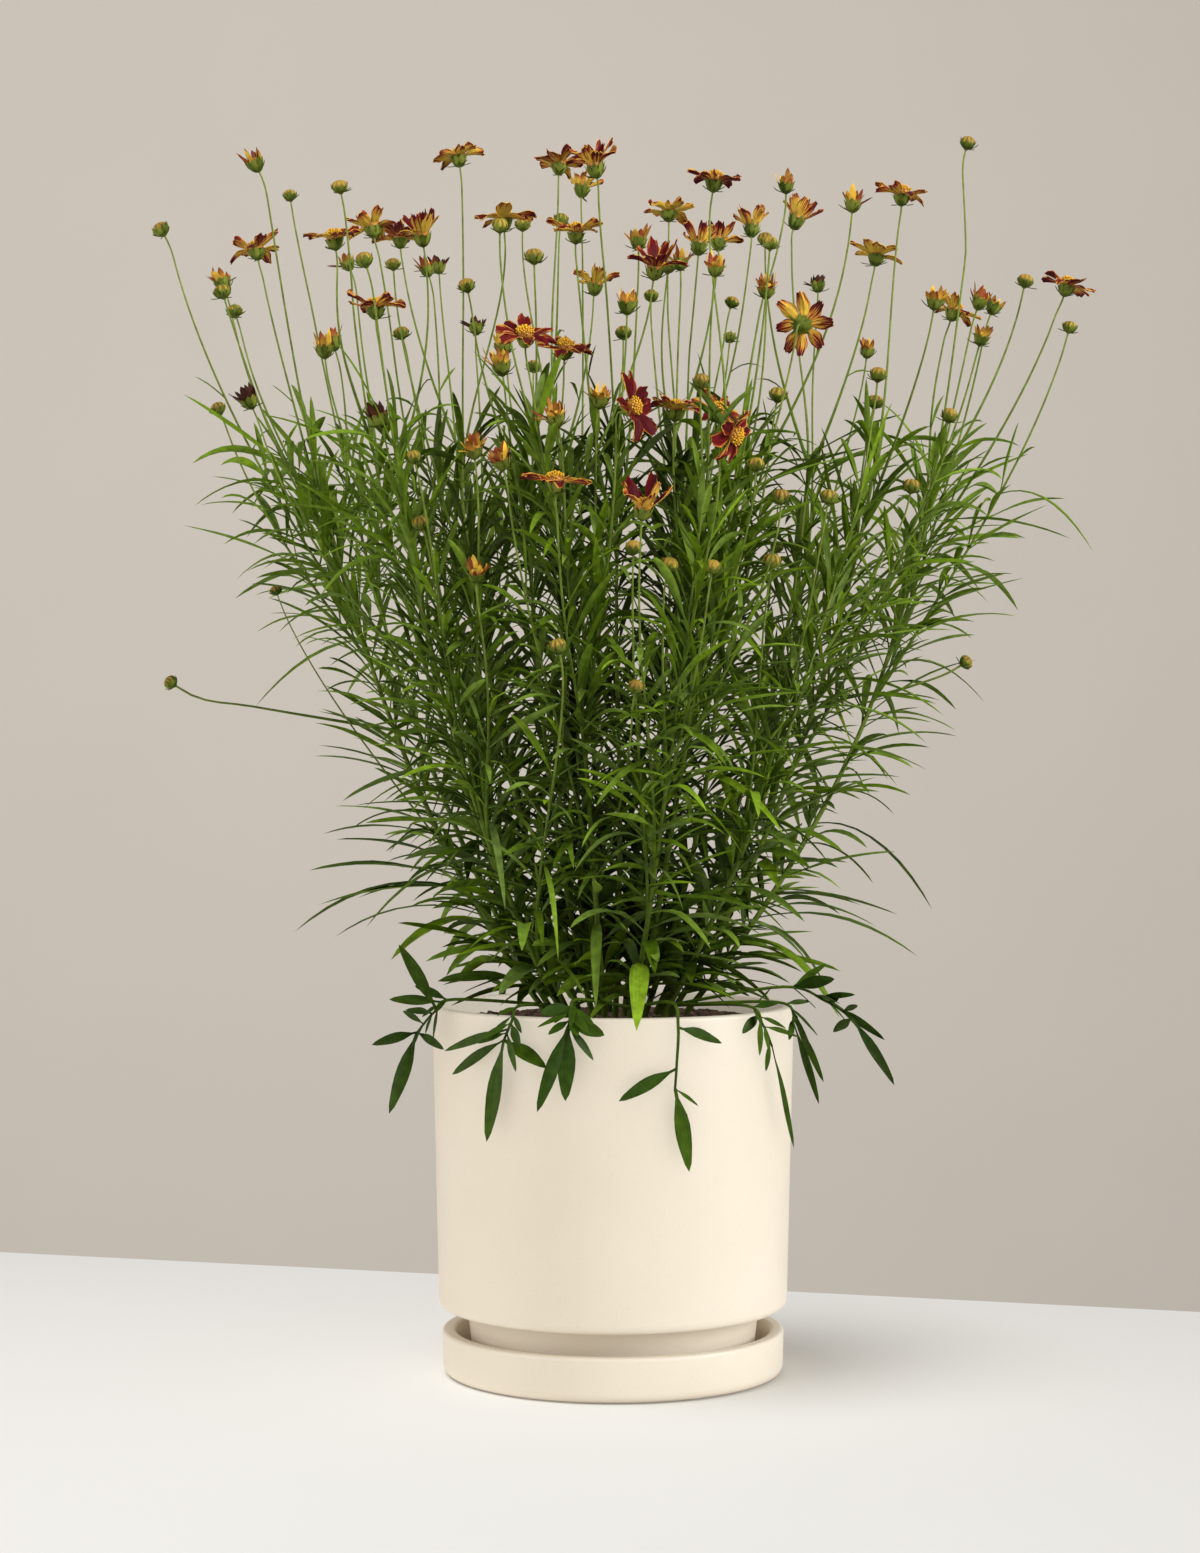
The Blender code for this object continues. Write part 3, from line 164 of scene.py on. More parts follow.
# Lobed leaves that hang over the rim, as the front view shows them. A stalk's points are how far across and
# how high each is seen, and how far it is from the pot's axis. A lobe is where it leaves its stalk, from 0 to
# 1, then its tip as for a stalk, and its width. All but the shares are in mm.
BASAL = [
    ([(-101, 236, 113), (-114, 228, 124), (-125, 215, 128)],
     [(1, -143, 163, 150, 9), (1, -154, 207, 160, 6.5), (1, -108, 204, 128, 5.5),
      (0.45, -143, 236, 150, 6.5), (0.62, -137, 271, 150, 8.5)]),
    ([(-60, 232, 113), (-65, 222, 121), (-70, 210, 122)],
     [(1, -81, 145, 124, 11), (1, -103, 188, 126, 8), (1, -43, 192, 124, 10),
      (0.8, -108, 203, 132, 6)]),
    ([(-23, 236, 112), (-27, 228, 123), (-29, 219, 128)],
     [(1, -31, 171, 129, 11), (1, -49, 164, 131, 9), (0.9, -6, 213, 128, 9), (1, -13, 197, 129, 5),
      (0.55, -47, 227, 130, 8)]),
    ([(37, 234, 112), (41, 218, 121), (40, 194, 121), (39, 179, 121)],
     [(0.5, 69, 208, 123, 8.6), (0.78, 3, 171, 123, 8), (1, 48, 126, 123, 11), (1, 54, 168, 122, 3)]),
    ([(85, 232, 114), (95, 220, 121), (101, 206, 122)],
     [(1, 115, 141, 125, 6.5), (0.9, 97, 190, 122, 4), (0.5, 82, 214, 122, 6)]),
    ([(106, 234, 116), (115, 220, 126)],
     [(1, 131, 169, 140, 6), (0.85, 134, 183, 146, 6), (0.6, 127, 201, 140, 4)]),
    ([(108, 244, 114), (135, 235, 142), (152, 224, 166)],
     [(0.38, 141, 249, 150, 8), (0.6, 154, 239, 166, 4), (0.75, 173, 210, 180, 6),
      (1, 179, 181, 184, 9), (1, 140, 215, 148, 6)]),
]

# Leaves like them round the back: which one, and how many degrees round it stands from there
BACK_LEAVES = [(1, 172), (3, 152), (2, 215), (4, 170), (0, 248)]

# Long leaves that arch out of the foot of the clump: where the tip is, how high above the soil the leaf
# leaves its stem, and its width, in mm, then its droop
LONG_LEAVES = [
    (-201, -20, 280, 78, 6.5, 0.55), (-180, 30, 274, 62, 5, 0.50), (-188, -58, 320, 84, 7, 0.25),
    (-168, 66, 298, 72, 5.5, 0.40), (-176, -6, 338, 98, 6.5, 0.22), (-122, -118, 300, 60, 8, 0.45),
    (-54, -158, 276, 52, 9, 0.50), (24, -152, 262, 48, 9, 0.55), (88, -140, 284, 58, 9, 0.45),
    (150, -92, 300, 66, 7, 0.42), (193, -12, 264, 60, 5, 0.48), (172, 42, 280, 66, 6, 0.40),
    (140, 112, 310, 74, 6.5, 0.40), (78, 156, 286, 60, 7, 0.50), (4, 176, 300, 70, 7, 0.42),
    (-70, 160, 278, 58, 7, 0.52), (-130, 116, 322, 84, 6, 0.35),
]

# Flowers that don't look up, by where they are seen: the way they face
TURNED = {(120, 666): (0.35, 0.9, 0.15), (10, 613): (0.75, -0.45, 0.2), (75, 596): (0.65, -0.45, -0.3),
          (66, 610): (0.45, -0.45, 0.75), (-57, 658): (0.0, -0.5, 0.85), (-31, 650): (0.1, -0.45, 0.9)}

SOIL_TOP = SOIL_EDGE_HEIGHT + SOIL_CROWN_RISE
UP = Vector((0, 0, 1))
GOLDEN_TURN = math.pi * (3 - math.sqrt(5))


# The clump: shoots that all spread from the crown along one family of curves

def crown_spread(height):
    """How far from the axis the outermost shoot stands, at a height above the soil."""
    height = max(height, 0.0)
    return CROWN_RADIUS + FLARE_SLOPE * height / (1 + height / FLARE_EASE)


def clump_point(place, height):
    """Where a shoot is at a height above the soil. Its place in the unit disc stays the same all the way."""
    reach = crown_spread(height)
    return Vector((place.x * reach, place.y * reach, SOIL_TOP + height))


def seen_point(across, up, depth):
    """The point in space that the front view shows there, its depth a share of the clump's own."""
    back = 0.0
    for _ in range(4):
        growth = (EYE_DISTANCE + back) / EYE_DISTANCE
        x = across * MM * growth
        z = EYE_HEIGHT + (up * MM - EYE_HEIGHT) * growth
        reach = crown_spread(z - SOIL_TOP)
        back = depth * math.sqrt(max(0.94 * reach * reach - x * x, 0.02 * reach * reach))
    return Vector((x, back, z))


def square_to(way):
    """Two directions that stand square to a way and to each other."""
    side = way.orthogonal().normalized()
    return side, way.cross(side)


class Crowd:
    """Round samples of everything placed so far, kept in cells, to keep new shoots and leaves clear."""

    CELL = 13 * MM

    def __init__(self):
        self.cells = {}

    def key(self, point):
        return tuple(math.floor(c / self.CELL) for c in point)

    def add(self, owner, samples):
        for point, radius in samples:
            self.cells.setdefault(self.key(point), []).append((point, radius, owner))

    def is_clear(self, owners, samples, gap=1.7 * MM):
        """True if no sample comes within the gap of one that belongs to somebody else."""
        for point, radius in samples:
            i, j, k = self.key(point)
            for cell in ((i + a, j + b, k + c) for a in (-1, 0, 1) for b in (-1, 0, 1) for c in (-1, 0, 1)):
                for other, other_radius, owner in self.cells.get(cell, ()):
                    if owner in owners:
                        continue
                    if (point - other).length < radius + other_radius + gap:
                        return False
        return True


class Head:
    """A bloom, cup, tuft, bud or small bud: its base, the way it faces and its size."""

    def __init__(self, kind, point, rng, turned=None):
        self.kind = kind
        self.point = point
        self.rng_turn = rng.uniform(0, math.tau)
        self.size = rng.uniform(0.88, 1.08)
        self.rise = rng.uniform(14, 30) if kind == "bloom" else rng.uniform(42, 60)
        lean = Vector((point.x, point.y, 0)) / crown_spread(point.z - SOIL_TOP) * 0.40
        shake = Vector((rng.uniform(-1, 1), rng.uniform(-1, 1), 0)) * 0.20
        if self.is_stray():
            lean = Vector((point.x, point.y, 0)).normalized() * 1.5
        self.face = (Vector(turned) if turned else UP + lean + shake).normalized()
        self.foot = point - self.face * NECK
        self.height = self.foot.z - SOIL_TOP
        self.place = Vector((self.foot.x, self.foot.y)) / crown_spread(self.height)

    def is_stray(self):
        """True for a low bud that hangs well outside the clump on a nearly level stalk."""
        reach = crown_spread(self.point.z - SOIL_TOP)
        return self.point.z < 560 * MM and self.point.to_2d().length > 1.05 * reach

    def samples(self):
        """Round samples of the petals, or of the bud, and of the top of the stalk."""
        stalk = [(clump_point(self.place, self.height - step * 5 * MM), 1.2 * MM) for step in range(7)]
        if self.kind not in ("bloom", "cup"):
            return stalk + [(self.point + self.face * 5 * MM, 5.5 * MM)]
        rise = math.tan(math.radians(self.rise))
        side, other = square_to(self.face)
        found = stalk + [(self.point + self.face * 3 * MM, 5.5 * MM)]
        for step in range(16):
            turn = math.tau * step / 16
            out = side * math.cos(turn) + other * math.sin(turn)
            for share in (0.45, 0.75, 1.0):
                reach = BLOOM_RADIUS * self.size * share * math.cos(math.atan(rise))
                found.append((self.point + out * reach + self.face * reach * rise, 4 * MM))
        return found


class Shoot:
    """A curve through the clump: heights above the soil, the place at each, and the stalk's radius."""

    def __init__(self, start, end, place_at, radius_at):
        self.start = start
        self.end = end
        self.place_at = place_at
        self.radius_at = radius_at
        self.knots = [h for h in self.heights(STRAIGHT_RUN) if start >= 0 or h > 20 * MM]
        if start < 0:
            self.knots = [start, 0.0] + self.knots

    def at(self, height):
        if height < 0:
            foot = clump_point(self.place_at(0.0), 0.0)
            return Vector((foot.x, foot.y, SOIL_TOP + height))
        return clump_point(self.place_at(height), height)

    def along(self, height):
        step = 2 * MM
        return (self.at(height + step) - self.at(max(height - step, 0.0))).normalized()

    def heights(self, spacing):
        count = max(1, round((self.end - self.start) / spacing))
        return [self.start + (self.end - self.start) * i / count for i in range(count + 1)]

    def straight(self, height):
        """The point at a height on the straight runs between the knots."""
        for low, high in zip(self.knots, self.knots[1:]):
            if low <= height <= high:
                return self.at(low).lerp(self.at(high), (height - low) / (high - low))
        return self.at(height)

    def samples(self, spacing=3 * MM):
        """Round samples of the curve and of its straight runs."""
        heights = self.heights(spacing)
        curve = [(self.at(h), self.radius_at(h)) for h in heights]
        return curve + [(self.straight(h), self.radius_at(h)) for h in heights]


class Stem:
    """A leafy stem: its main shoot up to its tallest head, its branches and its leaves."""

    def __init__(self, number):
        self.name = f"leafy_stem_{number + 1:02d}"
        self.number = number
        share = math.sqrt((number + 0.5) / STEM_COUNT)
        turn = number * GOLDEN_TURN
        self.place = Vector((math.cos(turn), math.sin(turn))) * STEM_DISC * share
        self.heads = []
        self.main = None
        self.branches = []
        self.leaves = []
        self.basal = []


def wavy(amount, length, phase, toward):
    """A slow sway to one side, which is nothing at the soil."""
    side = Vector((math.cos(toward), math.sin(toward))) * amount

    def sway(height):
        return side * (math.sin(height / length + phase) - math.sin(phase))

    return sway


def main_shoot(stem, rng, trial):
    """The main shoot: straight in its place, then across to the place of its tallest head."""
    head = stem.heads[0]
    top = head.height
    drift = (head.place - stem.place).length * crown_spread(top)
    split = max(60 * MM, min(top - rng.uniform(150, 230) * MM, top - 2.2 * drift))
    most = 0.022 + 0.001 * trial
    sway = wavy(rng.uniform(0.008, most), rng.uniform(60, 90) * MM, rng.uniform(0, 6), rng.uniform(0, 6.3))
    fade = 60 * MM

    def place_at(height):
        share = min(max((height - split) / (top - split), 0), 1)
        share = share * share * (3 - 2 * share)
        still = min(1, max(0, (top - height) / fade))
        return stem.place.lerp(head.place, share) + sway(height) * still

    def radius_at(height):
        if height < split:
            return STEM_RADIUS + (STEM_TOP_RADIUS - STEM_RADIUS) * max(height, 0) / split
        return STEM_TOP_RADIUS + (STALK_RADIUS - STEM_TOP_RADIUS) * min(1, (height - split) / (80 * MM))

    return Shoot(-STEM_SUNK, top, place_at, radius_at)


def branch_shoot(stem, head, rng, trial):
    """A flower stalk that leaves the main shoot at a node and bends up to its own head."""
    top = head.height
    longest = stem.main.end - 45 * MM
    drift = (head.place - stem.main.place_at(min(top, longest))).length * crown_spread(top)
    root = min(top - rng.uniform(110, 230 + 4 * trial) * MM, top - 1.6 * drift, longest)
    if head.is_stray():
        root = top - rng.uniform(0.04, 0.16) * drift - 8 * MM
    root = max(root, min(25 * MM, top - 70 * MM), 12 * MM)
    start = stem.main.place_at(root)
    bend = 1.15 if head.is_stray() else rng.uniform(1.5, 2.1 + 0.01 * trial)
    most = 0.014 + 0.001 * trial
    sway = wavy(rng.uniform(0.0, most), rng.uniform(35, 60) * MM, rng.uniform(0, 6), rng.uniform(0, 6.3))

    def place_at(height):
        share = min(max((height - root) / (top - root), 0), 1)
        still = math.sin(math.pi * share)
        return start.lerp(head.place, 1 - (1 - share) ** bend) + sway(height) * still

    def radius_at(height):
        share = min(1, (height - root) / (60 * MM))
        return STALK_ROOT_RADIUS + (STALK_RADIUS - STALK_ROOT_RADIUS) * share

    return Shoot(root, top, place_at, radius_at)


class Leaf:
    """A blade along an arched midrib. Its width is nothing at the tip and narrow at the root."""

    def __init__(self, root, direction, length, width, droop, roll, facing=UP):
        self.root = root
        self.direction = direction
        self.length = length
        self.width = width
        self.droop = droop
        self.roll = roll
        self.facing = facing

    def at(self, share):
        fall = self.droop * share * share * self.length
        return self.root + self.direction * (self.length * share) - UP * fall

    def frame(self, share):
        """The midrib's direction, the blade's sideways direction and the way its upper face looks."""
        along = (self.direction - UP * (2 * self.droop * share)).normalized()
        side = along.cross(self.facing)
        side = side.normalized() if side.length > 0.05 else along.orthogonal().normalized()
        face = side.cross(along)
        turned = side * math.cos(self.roll) + face * math.sin(self.roll)
        return along, turned, turned.cross(along)

    def half_width(self, share):
        """Half the blade's width: a stalk-like root, widest before the middle, a long point."""
        if share < 0.16:
            swell = 0.22
        else:
            swell = 0.22 + 0.78 * math.sin(math.pi * min(1, (share - 0.16) / 0.84) ** 0.8)
        return 0.5 * self.width * (swell if share < 0.97 else 0.05)

    def samples(self, spacing=3 * MM):
        """Round samples of the arched blade and of its two straight runs."""
        count = max(3, round(self.length / spacing))
        found = []
        bend = self.at(BLADE_BEND)
        for i in range(count + 1):
            share = i / count
            found.append((self.at(share), self.half_width(share)))
            if share < BLADE_BEND:
                straight = self.root.lerp(bend, share / BLADE_BEND)
            else:
                straight = bend.lerp(self.at(1), (share - BLADE_BEND) / (1 - BLADE_BEND))
            found.append((straight, self.half_width(share)))
        return found


def leaf_to(root, tip, width, droop, facing):
    """A leaf whose tip is at a given point."""
    length = (tip - root).length
    return Leaf(root, (tip - root) / length + UP * droop, length, width, droop, 0.0, facing)


def seen_round(across, up, radius):
    """The point that the front view shows there, at a distance from the pot's axis on its near side."""
    back = 0.0
    for _ in range(6):
        growth = (EYE_DISTANCE + back) / EYE_DISTANCE
        x = across * MM * growth
        back = -math.sqrt(max((radius * MM) ** 2 - x * x, 0))
    return Vector((x, back, EYE_HEIGHT + (up * MM - EYE_HEIGHT) * growth))


class BasalLeaf:
    """A lobed leaf from the foot of a stem: a long stalk over the rim that bears the lobes."""

    def __init__(self, root, stalk, lobes):
        self.knots = [root] + stalk
        self.tips = lobes

    def at(self, share):
        """A smooth curve through the knots."""
        last = len(self.knots) - 1
        place = min(max(share, 0), 1) * last
        i = min(int(place), last - 1)
        t = place - i
        b, c = self.knots[i], self.knots[i + 1]
        a = self.knots[i - 1] if i > 0 else b - (c - b) * 0.5
        d = self.knots[i + 2] if i + 2 <= last else c + (c - b) * 0.5
        return (b * 2 + (c - a) * t + (a * 2 - b * 5 + c * 4 - d) * t * t
                + (b * 3 - a - c * 3 + d) * t ** 3) * 0.5

    def lobes(self):
        found = []
        for share, tip, width in self.tips:
            root = self.at(share)
            out = Vector((tip.x, tip.y, 0)).normalized()
            beside = UP.cross(out)
            facing = out + UP * 0.6 if tip.to_2d().length < 132 * MM else out * 0.35 + beside + UP * 0.3
            found.append(leaf_to(root, tip, width, 0.05, facing))
        return found

    def samples(self):
        found = [(self.at(i / 50), 1.3 * MM) for i in range(51)]
        for lobe in self.lobes():
            found += lobe.samples()
        return found


def beyond(samples, point, distance):
    """The samples that lie further from a point than a distance."""
    return [s for s in samples if (s[0] - point).length > distance]


def hits_pot(samples, soil_slack=1.0 * MM):
    """True if a sample would touch the pot, its lip or the soil."""
    for point, radius in samples:
        out = point.to_2d().length
        if point.z - radius < POT_RIM_HEIGHT + 1.5 * MM and out + radius > POT_RIM_RADIUS - POT_WALL - 2 * MM:
            if out - radius < POT_RIM_RADIUS + 1.5 * MM:
                return True
        if out < POT_RIM_RADIUS and point.z - radius < SOIL_TOP + soil_slack:
            return True
    return False


def place_heads(crowd):
    """Every head of the front view, moved a little in depth where its petals would meet another's."""
    heads = []
    for kind, across, up, depth in HEADS:
        trials = [depth + sign * step * 0.05 for step in range(0, 14) for sign in (1, -1)]
        trials = [t for t in trials if abs(t) <= 1.02] or [depth]
        for trial in trials:
            turned = TURNED.get((across, up))
            head = Head(kind, seen_point(across, up, trial), random.Random(f"{kind}{across}{up}"), turned)
            if crowd.is_clear((), head.samples(), 1.5 * MM):
                break
        crowd.add(head, head.samples())
        heads.append(head)
    return heads


def mirrored_heads(heads, crowd):
    """Low buds like the front ones, round the back where the front view doesn't reach."""
    found = []
    for head in heads:
        if head.kind in ("bud", "tuft") and head.place.y < -0.6 and head.point.z < 0.56:
            point = Vector((-head.point.x, -head.point.y * 0.96, head.point.z + 9 * MM))
            twin = Head(head.kind, point, random.Random(f"{point.x:.3f}"))
            if crowd.is_clear((), twin.samples(), 1.5 * MM):
                crowd.add(twin, twin.samples())
                found.append(twin)
    return found


def share_out(stems, heads, most=8):
    """Gives each head to the nearest stem that still has room, the blooms first."""
    order = sorted(heads, key=lambda h: (h.kind not in ("bloom", "cup"), -h.point.z))
    for head in order:
        open_stems = [s for s in stems if len(s.heads) < most]
        nearest = min(open_stems, key=lambda s: (s.place - head.place).length)
        nearest.heads.append(head)
    for stem in stems:
        stem.heads.sort(key=lambda h: -h.point.z)


def first_clear(make, stem, head, crowd, tries):
    """The first of several tries that stands clear of everything else, and if it does."""
    for trial in range(tries):
        shoot = make(trial)
        samples = shoot.samples()
        if crowd.is_clear((stem, head), samples):
            free = beyond(samples, shoot.at(shoot.start), 25 * MM)
            if crowd.is_clear((head,), free, 0.4 * MM):
                return shoot, True
    return shoot, False


def add_shoots(stems, crowd):
    """Main shoots first, then the stalks of the other heads, each from the nearest stem with a clear way."""
    for stem in stems:
        head = stem.heads[0]
        rng = random.Random(stem.number)
        stem.main, _ = first_clear(lambda n: main_shoot(stem, rng, n), stem, head, crowd, 400)
        crowd.add(stem, stem.main.samples())
    waiting = [(stem, head) for stem in stems for head in stem.heads[1:]]
    for owner, head in waiting:
        near = sorted(stems, key=lambda s: (s is not owner, (s.place - head.place).length))[:6]
        for stem in near:
            rng = random.Random(stem.number * 1000 + round(head.point.z / MM))
            shoot, clear = first_clear(lambda n: branch_shoot(stem, head, rng, n), stem, head, crowd, 70)
            if clear:
                break
        crowd.add(stem, shoot.samples())
        stem.branches.append((shoot, head))


def turned_round(point, degrees):
    turn = math.radians(degrees)
    return Vector((point.x * math.cos(turn) - point.y * math.sin(turn),
                   point.x * math.sin(turn) + point.y * math.cos(turn), point.z))


def basal_shapes():
    """Stalk points and lobe tips in space: those that the front view shows, then those at the back."""
    front = []
    for stalk, lobes in BASAL:
        points = [seen_round(*point) for point in stalk]
        tips = []
        for share, across, up, radius, width in lobes:
            tips.append((share, seen_round(across, up, radius), width * MM))
        front.append((points, tips))
    back = []
    for number, degrees in BACK_LEAVES:
        points, tips = front[number]
        back.append(([turned_round(p, degrees) for p in points],
                     [(share, turned_round(tip, degrees), width) for share, tip, width in tips]))
    return front + back


def add_basal_leaves(stems, crowd):
    """The lobed leaves at the foot, each from the outer stem that is nearest to where it hangs."""
    for stalk, tips in basal_shapes():
        near = sorted((s for s in stems if len(s.basal) < 3),
                      key=lambda s: (clump_point(s.place, 0) - stalk[0]).to_2d().length)
        for stem, lift in ((s, lift) for lift in (0, 3, 6, 10) for s in near[:5]):
            raised = [point + UP * lift * MM for point in stalk]
            hung = [(share, tip + UP * lift * MM, width) for share, tip, width in tips]
            leaf = BasalLeaf(stem.main.at(8 * MM), raised, hung)
            samples = leaf.samples()
            far = beyond(samples, leaf.knots[0], 5 * MM)
            edgeways = [(point, 0.5 * radius + 0.6 * MM) for point, radius in far]
            if crowd.is_clear((stem,), far, 1.0 * MM) and not hits_pot(edgeways, 0.5 * MM):
                stem.basal.append(leaf)
                crowd.add(stem, samples)
                break


def add_long_leaves(stems, crowd):
    """The long arching leaves low down, each from the nearest stem that can reach its place."""
    for x, y, z, height, width, droop in LONG_LEAVES:
        tip = Vector((x, y, z)) * MM
        near = sorted(stems, key=lambda s: (s.main.straight(height * MM) - tip).length)[:5]
        for stem, lower in ((s, lower) for lower in (0, 8, 16) for s in near):
            root = stem.main.straight((height - lower) * MM)
            leaf = leaf_to(root, tip, width * MM, droop, UP)
            samples = beyond(leaf.samples(), root, 4 * MM)
            free = beyond(samples, root, 12 * MM)
            if hits_pot(samples, 2 * MM):
                continue
            if crowd.is_clear((stem,), samples, 0.6 * MM) and crowd.is_clear((), free, 0.3 * MM):
                stem.leaves.append(leaf)
                crowd.add(stem, samples)
                break


def leaf_at(shoot, height, turn, rng, widest, spread):
    """One leaf of a pair at a node of a shoot."""
    along = shoot.along(height)
    aside = Vector((math.cos(turn), math.sin(turn), 0))
    aside = (aside - along * aside.dot(along)).normalized()
    angle = math.radians(rng.uniform(34, 62))
    direction = along * math.cos(angle) + aside * math.sin(angle)
    length = LEAF_LENGTH * spread * rng.uniform(0.8, 1.12)
    width = widest * rng.uniform(0.85, 1.15)
    return Leaf(shoot.at(height), direction, length, width, rng.uniform(0.12, 0.62), rng.uniform(-0.5, 0.5))


def leaf_scale(height):
    """How long and wide leaves are at a height: short and broad low down, narrow and short at the top."""
    share = min(height / (400 * MM), 1)
    length = 0.70 + 1.3 * share * (1 - share)
    width = LEAF_WIDTH * (0.85 + 0.85 * max(0, 1 - height / (110 * MM)))
    return length, width


def add_leaf(stem, shoot, height, turn, crowd, rng, sunk=2.5 * MM):
    """Tries a leaf at a node a few ways, each a little shorter, and keeps the first that stands clear."""
    length, width = leaf_scale(height)
    for trial in range(14):
        shorter = 1 - 0.035 * trial
        leaf = leaf_at(shoot, height, turn + rng.uniform(-0.35, 0.35), rng, width, length * shorter)
        samples = beyond(leaf.samples(), leaf.root, sunk)
        free = beyond(samples, leaf.root, 12 * MM)
        if hits_pot(samples, 2 * MM):
            continue
        if crowd.is_clear((stem,), samples, 1.4 * MM) and crowd.is_clear((), free, 0.3 * MM):
            crowd.add(stem, samples)
            return leaf
    return None


def add_leaves(stems, crowd, rng):
    """Pairs of leaves at every second node of the main shoots, each pair square to the one below."""
    for stem in stems:
        turn = stem.number * 1.9
        last = min(stem.main.end - 70 * MM, 390 * MM)
        height = (20 + (stem.number * 7) % 20) * MM
        while height < last:
            for hand in (0, math.pi):
                leaf = add_leaf(stem, stem.main, height, turn + hand, crowd, rng)
                if leaf is not None:
                    stem.leaves.append(leaf)
            turn += math.pi / 2 + 0.2
            height += 2.7 * NODE_SPACING


def grow_clump():
    """The whole clump. The same seed gives the same clump each time."""
    rng = random.Random(SEED)
    crowd = Crowd()
    heads = place_heads(crowd)
    heads += mirrored_heads(heads, crowd)
    stems = [Stem(number) for number in range(STEM_COUNT)]
    share_out(stems, [h for h in heads if h.kind != "small"])
    add_shoots(stems, crowd)
    add_basal_leaves(stems, crowd)
    add_long_leaves(stems, crowd)
    add_leaves(stems, crowd, rng)
    return stems, crowd


# Growth that only the picture needs: more leaves at every node, tufts in their axils and small buds

def small_shoot(stem, head, rng, trial):
    """A thin stalk with a small bud, from a stalk or the main shoot nearby."""
    shoot = branch_shoot(stem, head, rng, trial)
    shoot.radius_at = lambda height: SMALL_STALK_RADIUS
    return shoot


def add_small_heads(stems, heads, crowd, rng):
    for head in heads:
        near = sorted(stems, key=lambda s: (s.place - head.place).length)[:3]
        for stem in near:
            shoot, clear = first_clear(lambda n: small_shoot(stem, head, rng, n), stem, head, crowd, 30)
            if clear:
                crowd.add(stem, shoot.samples())
                stem.branches.append((shoot, head))
                break


def slim(samples):
    """Samples half as wide, for leaves that may stand edge to edge."""
    return [(point, radius * 0.5) for point, radius in samples]


def inside_room(samples, room):
    """True if every sample is well inside the solids' box."""
    low, high = room
    edge = 4 * MM
    return all(low[i] + edge < point[i] < high[i] - edge for point, _ in samples for i in (0, 1))


def add_fine_leaf(stem, shoot, height, turn, long, wide, crowd, rng, room, tries=10):
    """Tries a leaf of the picture a few ways, each a little shorter."""
    for trial in range(tries):
        leaf = leaf_at(shoot, height, turn + rng.uniform(-0.6, 0.6), rng, wide, long * (1 - 0.04 * trial))
        leaf.droop *= rng.uniform(0.4, 1.5)
        upright = rng.uniform(-0.1, 1.3) * soften((height - 90 * MM) / (240 * MM))
        leaf.direction = (leaf.direction + shoot.along(height) * upright).normalized()
        samples = slim(beyond(leaf.samples(5 * MM), leaf.root, 5 * MM))
        if hits_pot(samples, 2 * MM) or not inside_room(samples, room):
            continue
        if crowd.is_clear((stem,), samples, 0.15 * MM):
            crowd.add(stem, samples)
            stem.leaves.append(leaf)
            return


def add_between_leaves(stems, crowd, rng, room):
    """Pairs at the nodes between those that the solids have, all the way up the leafy part."""
    for stem in stems:
        turn = stem.number * 1.9 + 0.9
        height = (8 + (stem.number * 5) % 12) * MM
        last = min(stem.main.end - 60 * MM, 355 * MM)
        while height < last:
            long, wide = leaf_scale(height)
            for hand in (0, math.pi):
                longer = long * rng.uniform(0.6, 1.25)
                wider = wide * rng.uniform(0.8, 1.3) * (1 - 0.22 * soften((height - 90 * MM) / (120 * MM)))
                add_fine_leaf(stem, stem.main, height, turn + hand, longer, wider, crowd, rng, room)
            turn += rng.uniform(0.9, 2.1)
            height += rng.uniform(0.22, 0.46) * NODE_SPACING


def add_branch_leaves(stems, crowd, rng, room):
    """Pairs along the leafy part of every flower stalk, shorter towards its top."""
    for stem in stems:
        for shoot, head in stem.branches:
            if head.kind == "small":
                continue
            turn = rng.uniform(0, math.tau)
            height = shoot.start + 12 * MM
            last = min(shoot.end - 60 * MM, shoot.start + 0.8 * (shoot.end - shoot.start), 345 * MM)
            while height < last:
                share = (height - shoot.start) / (shoot.end - shoot.start)
                for hand in (0, math.pi):
                    long = (1.0 - 0.45 * share) * rng.uniform(0.6, 1.25)
                    wide = LEAF_WIDTH * rng.uniform(0.65, 1.05)
                    add_fine_leaf(stem, shoot, height, turn + hand, long, wide, crowd, rng, room)
                turn += rng.uniform(0.9, 2.1)
                height += rng.uniform(0.3, 0.65) * NODE_SPACING
            while height < shoot.end - 70 * MM:
                wide = LEAF_WIDTH * rng.uniform(0.28, 0.45)
                add_fine_leaf(stem, shoot, height, turn, rng.uniform(0.22, 0.5), wide, crowd, rng, room)
                turn += rng.uniform(1.5, 3.0)
                height += rng.uniform(0.9, 1.9) * NODE_SPACING


def add_axil_tufts(stems, crowd, rng, room):
    """Short narrow leaves in the axils, in ones and twos."""
    for stem in stems:
        last = min(stem.main.end - 50 * MM, 330 * MM)
        height = (16 + (stem.number * 3) % 10) * MM
        while height < last:
            for _ in range(2):
                turn = rng.uniform(0, math.tau)
                add_fine_leaf(stem, stem.main, height, turn, 0.55, LEAF_WIDTH * 0.6, crowd, rng, room, 3)
            height += NODE_SPACING * 0.8
        for shoot, head in stem.branches:
            if head.kind == "small":
                continue
            height = shoot.start + 20 * MM
            while height < min(shoot.start + 0.6 * (shoot.end - shoot.start), 320 * MM):
                for _ in range(2):
                    turn = rng.uniform(0, math.tau)
                    add_fine_leaf(stem, shoot, height, turn, 0.5, LEAF_WIDTH * 0.6, crowd, rng, room, 3)
                height += NODE_SPACING * 0.9


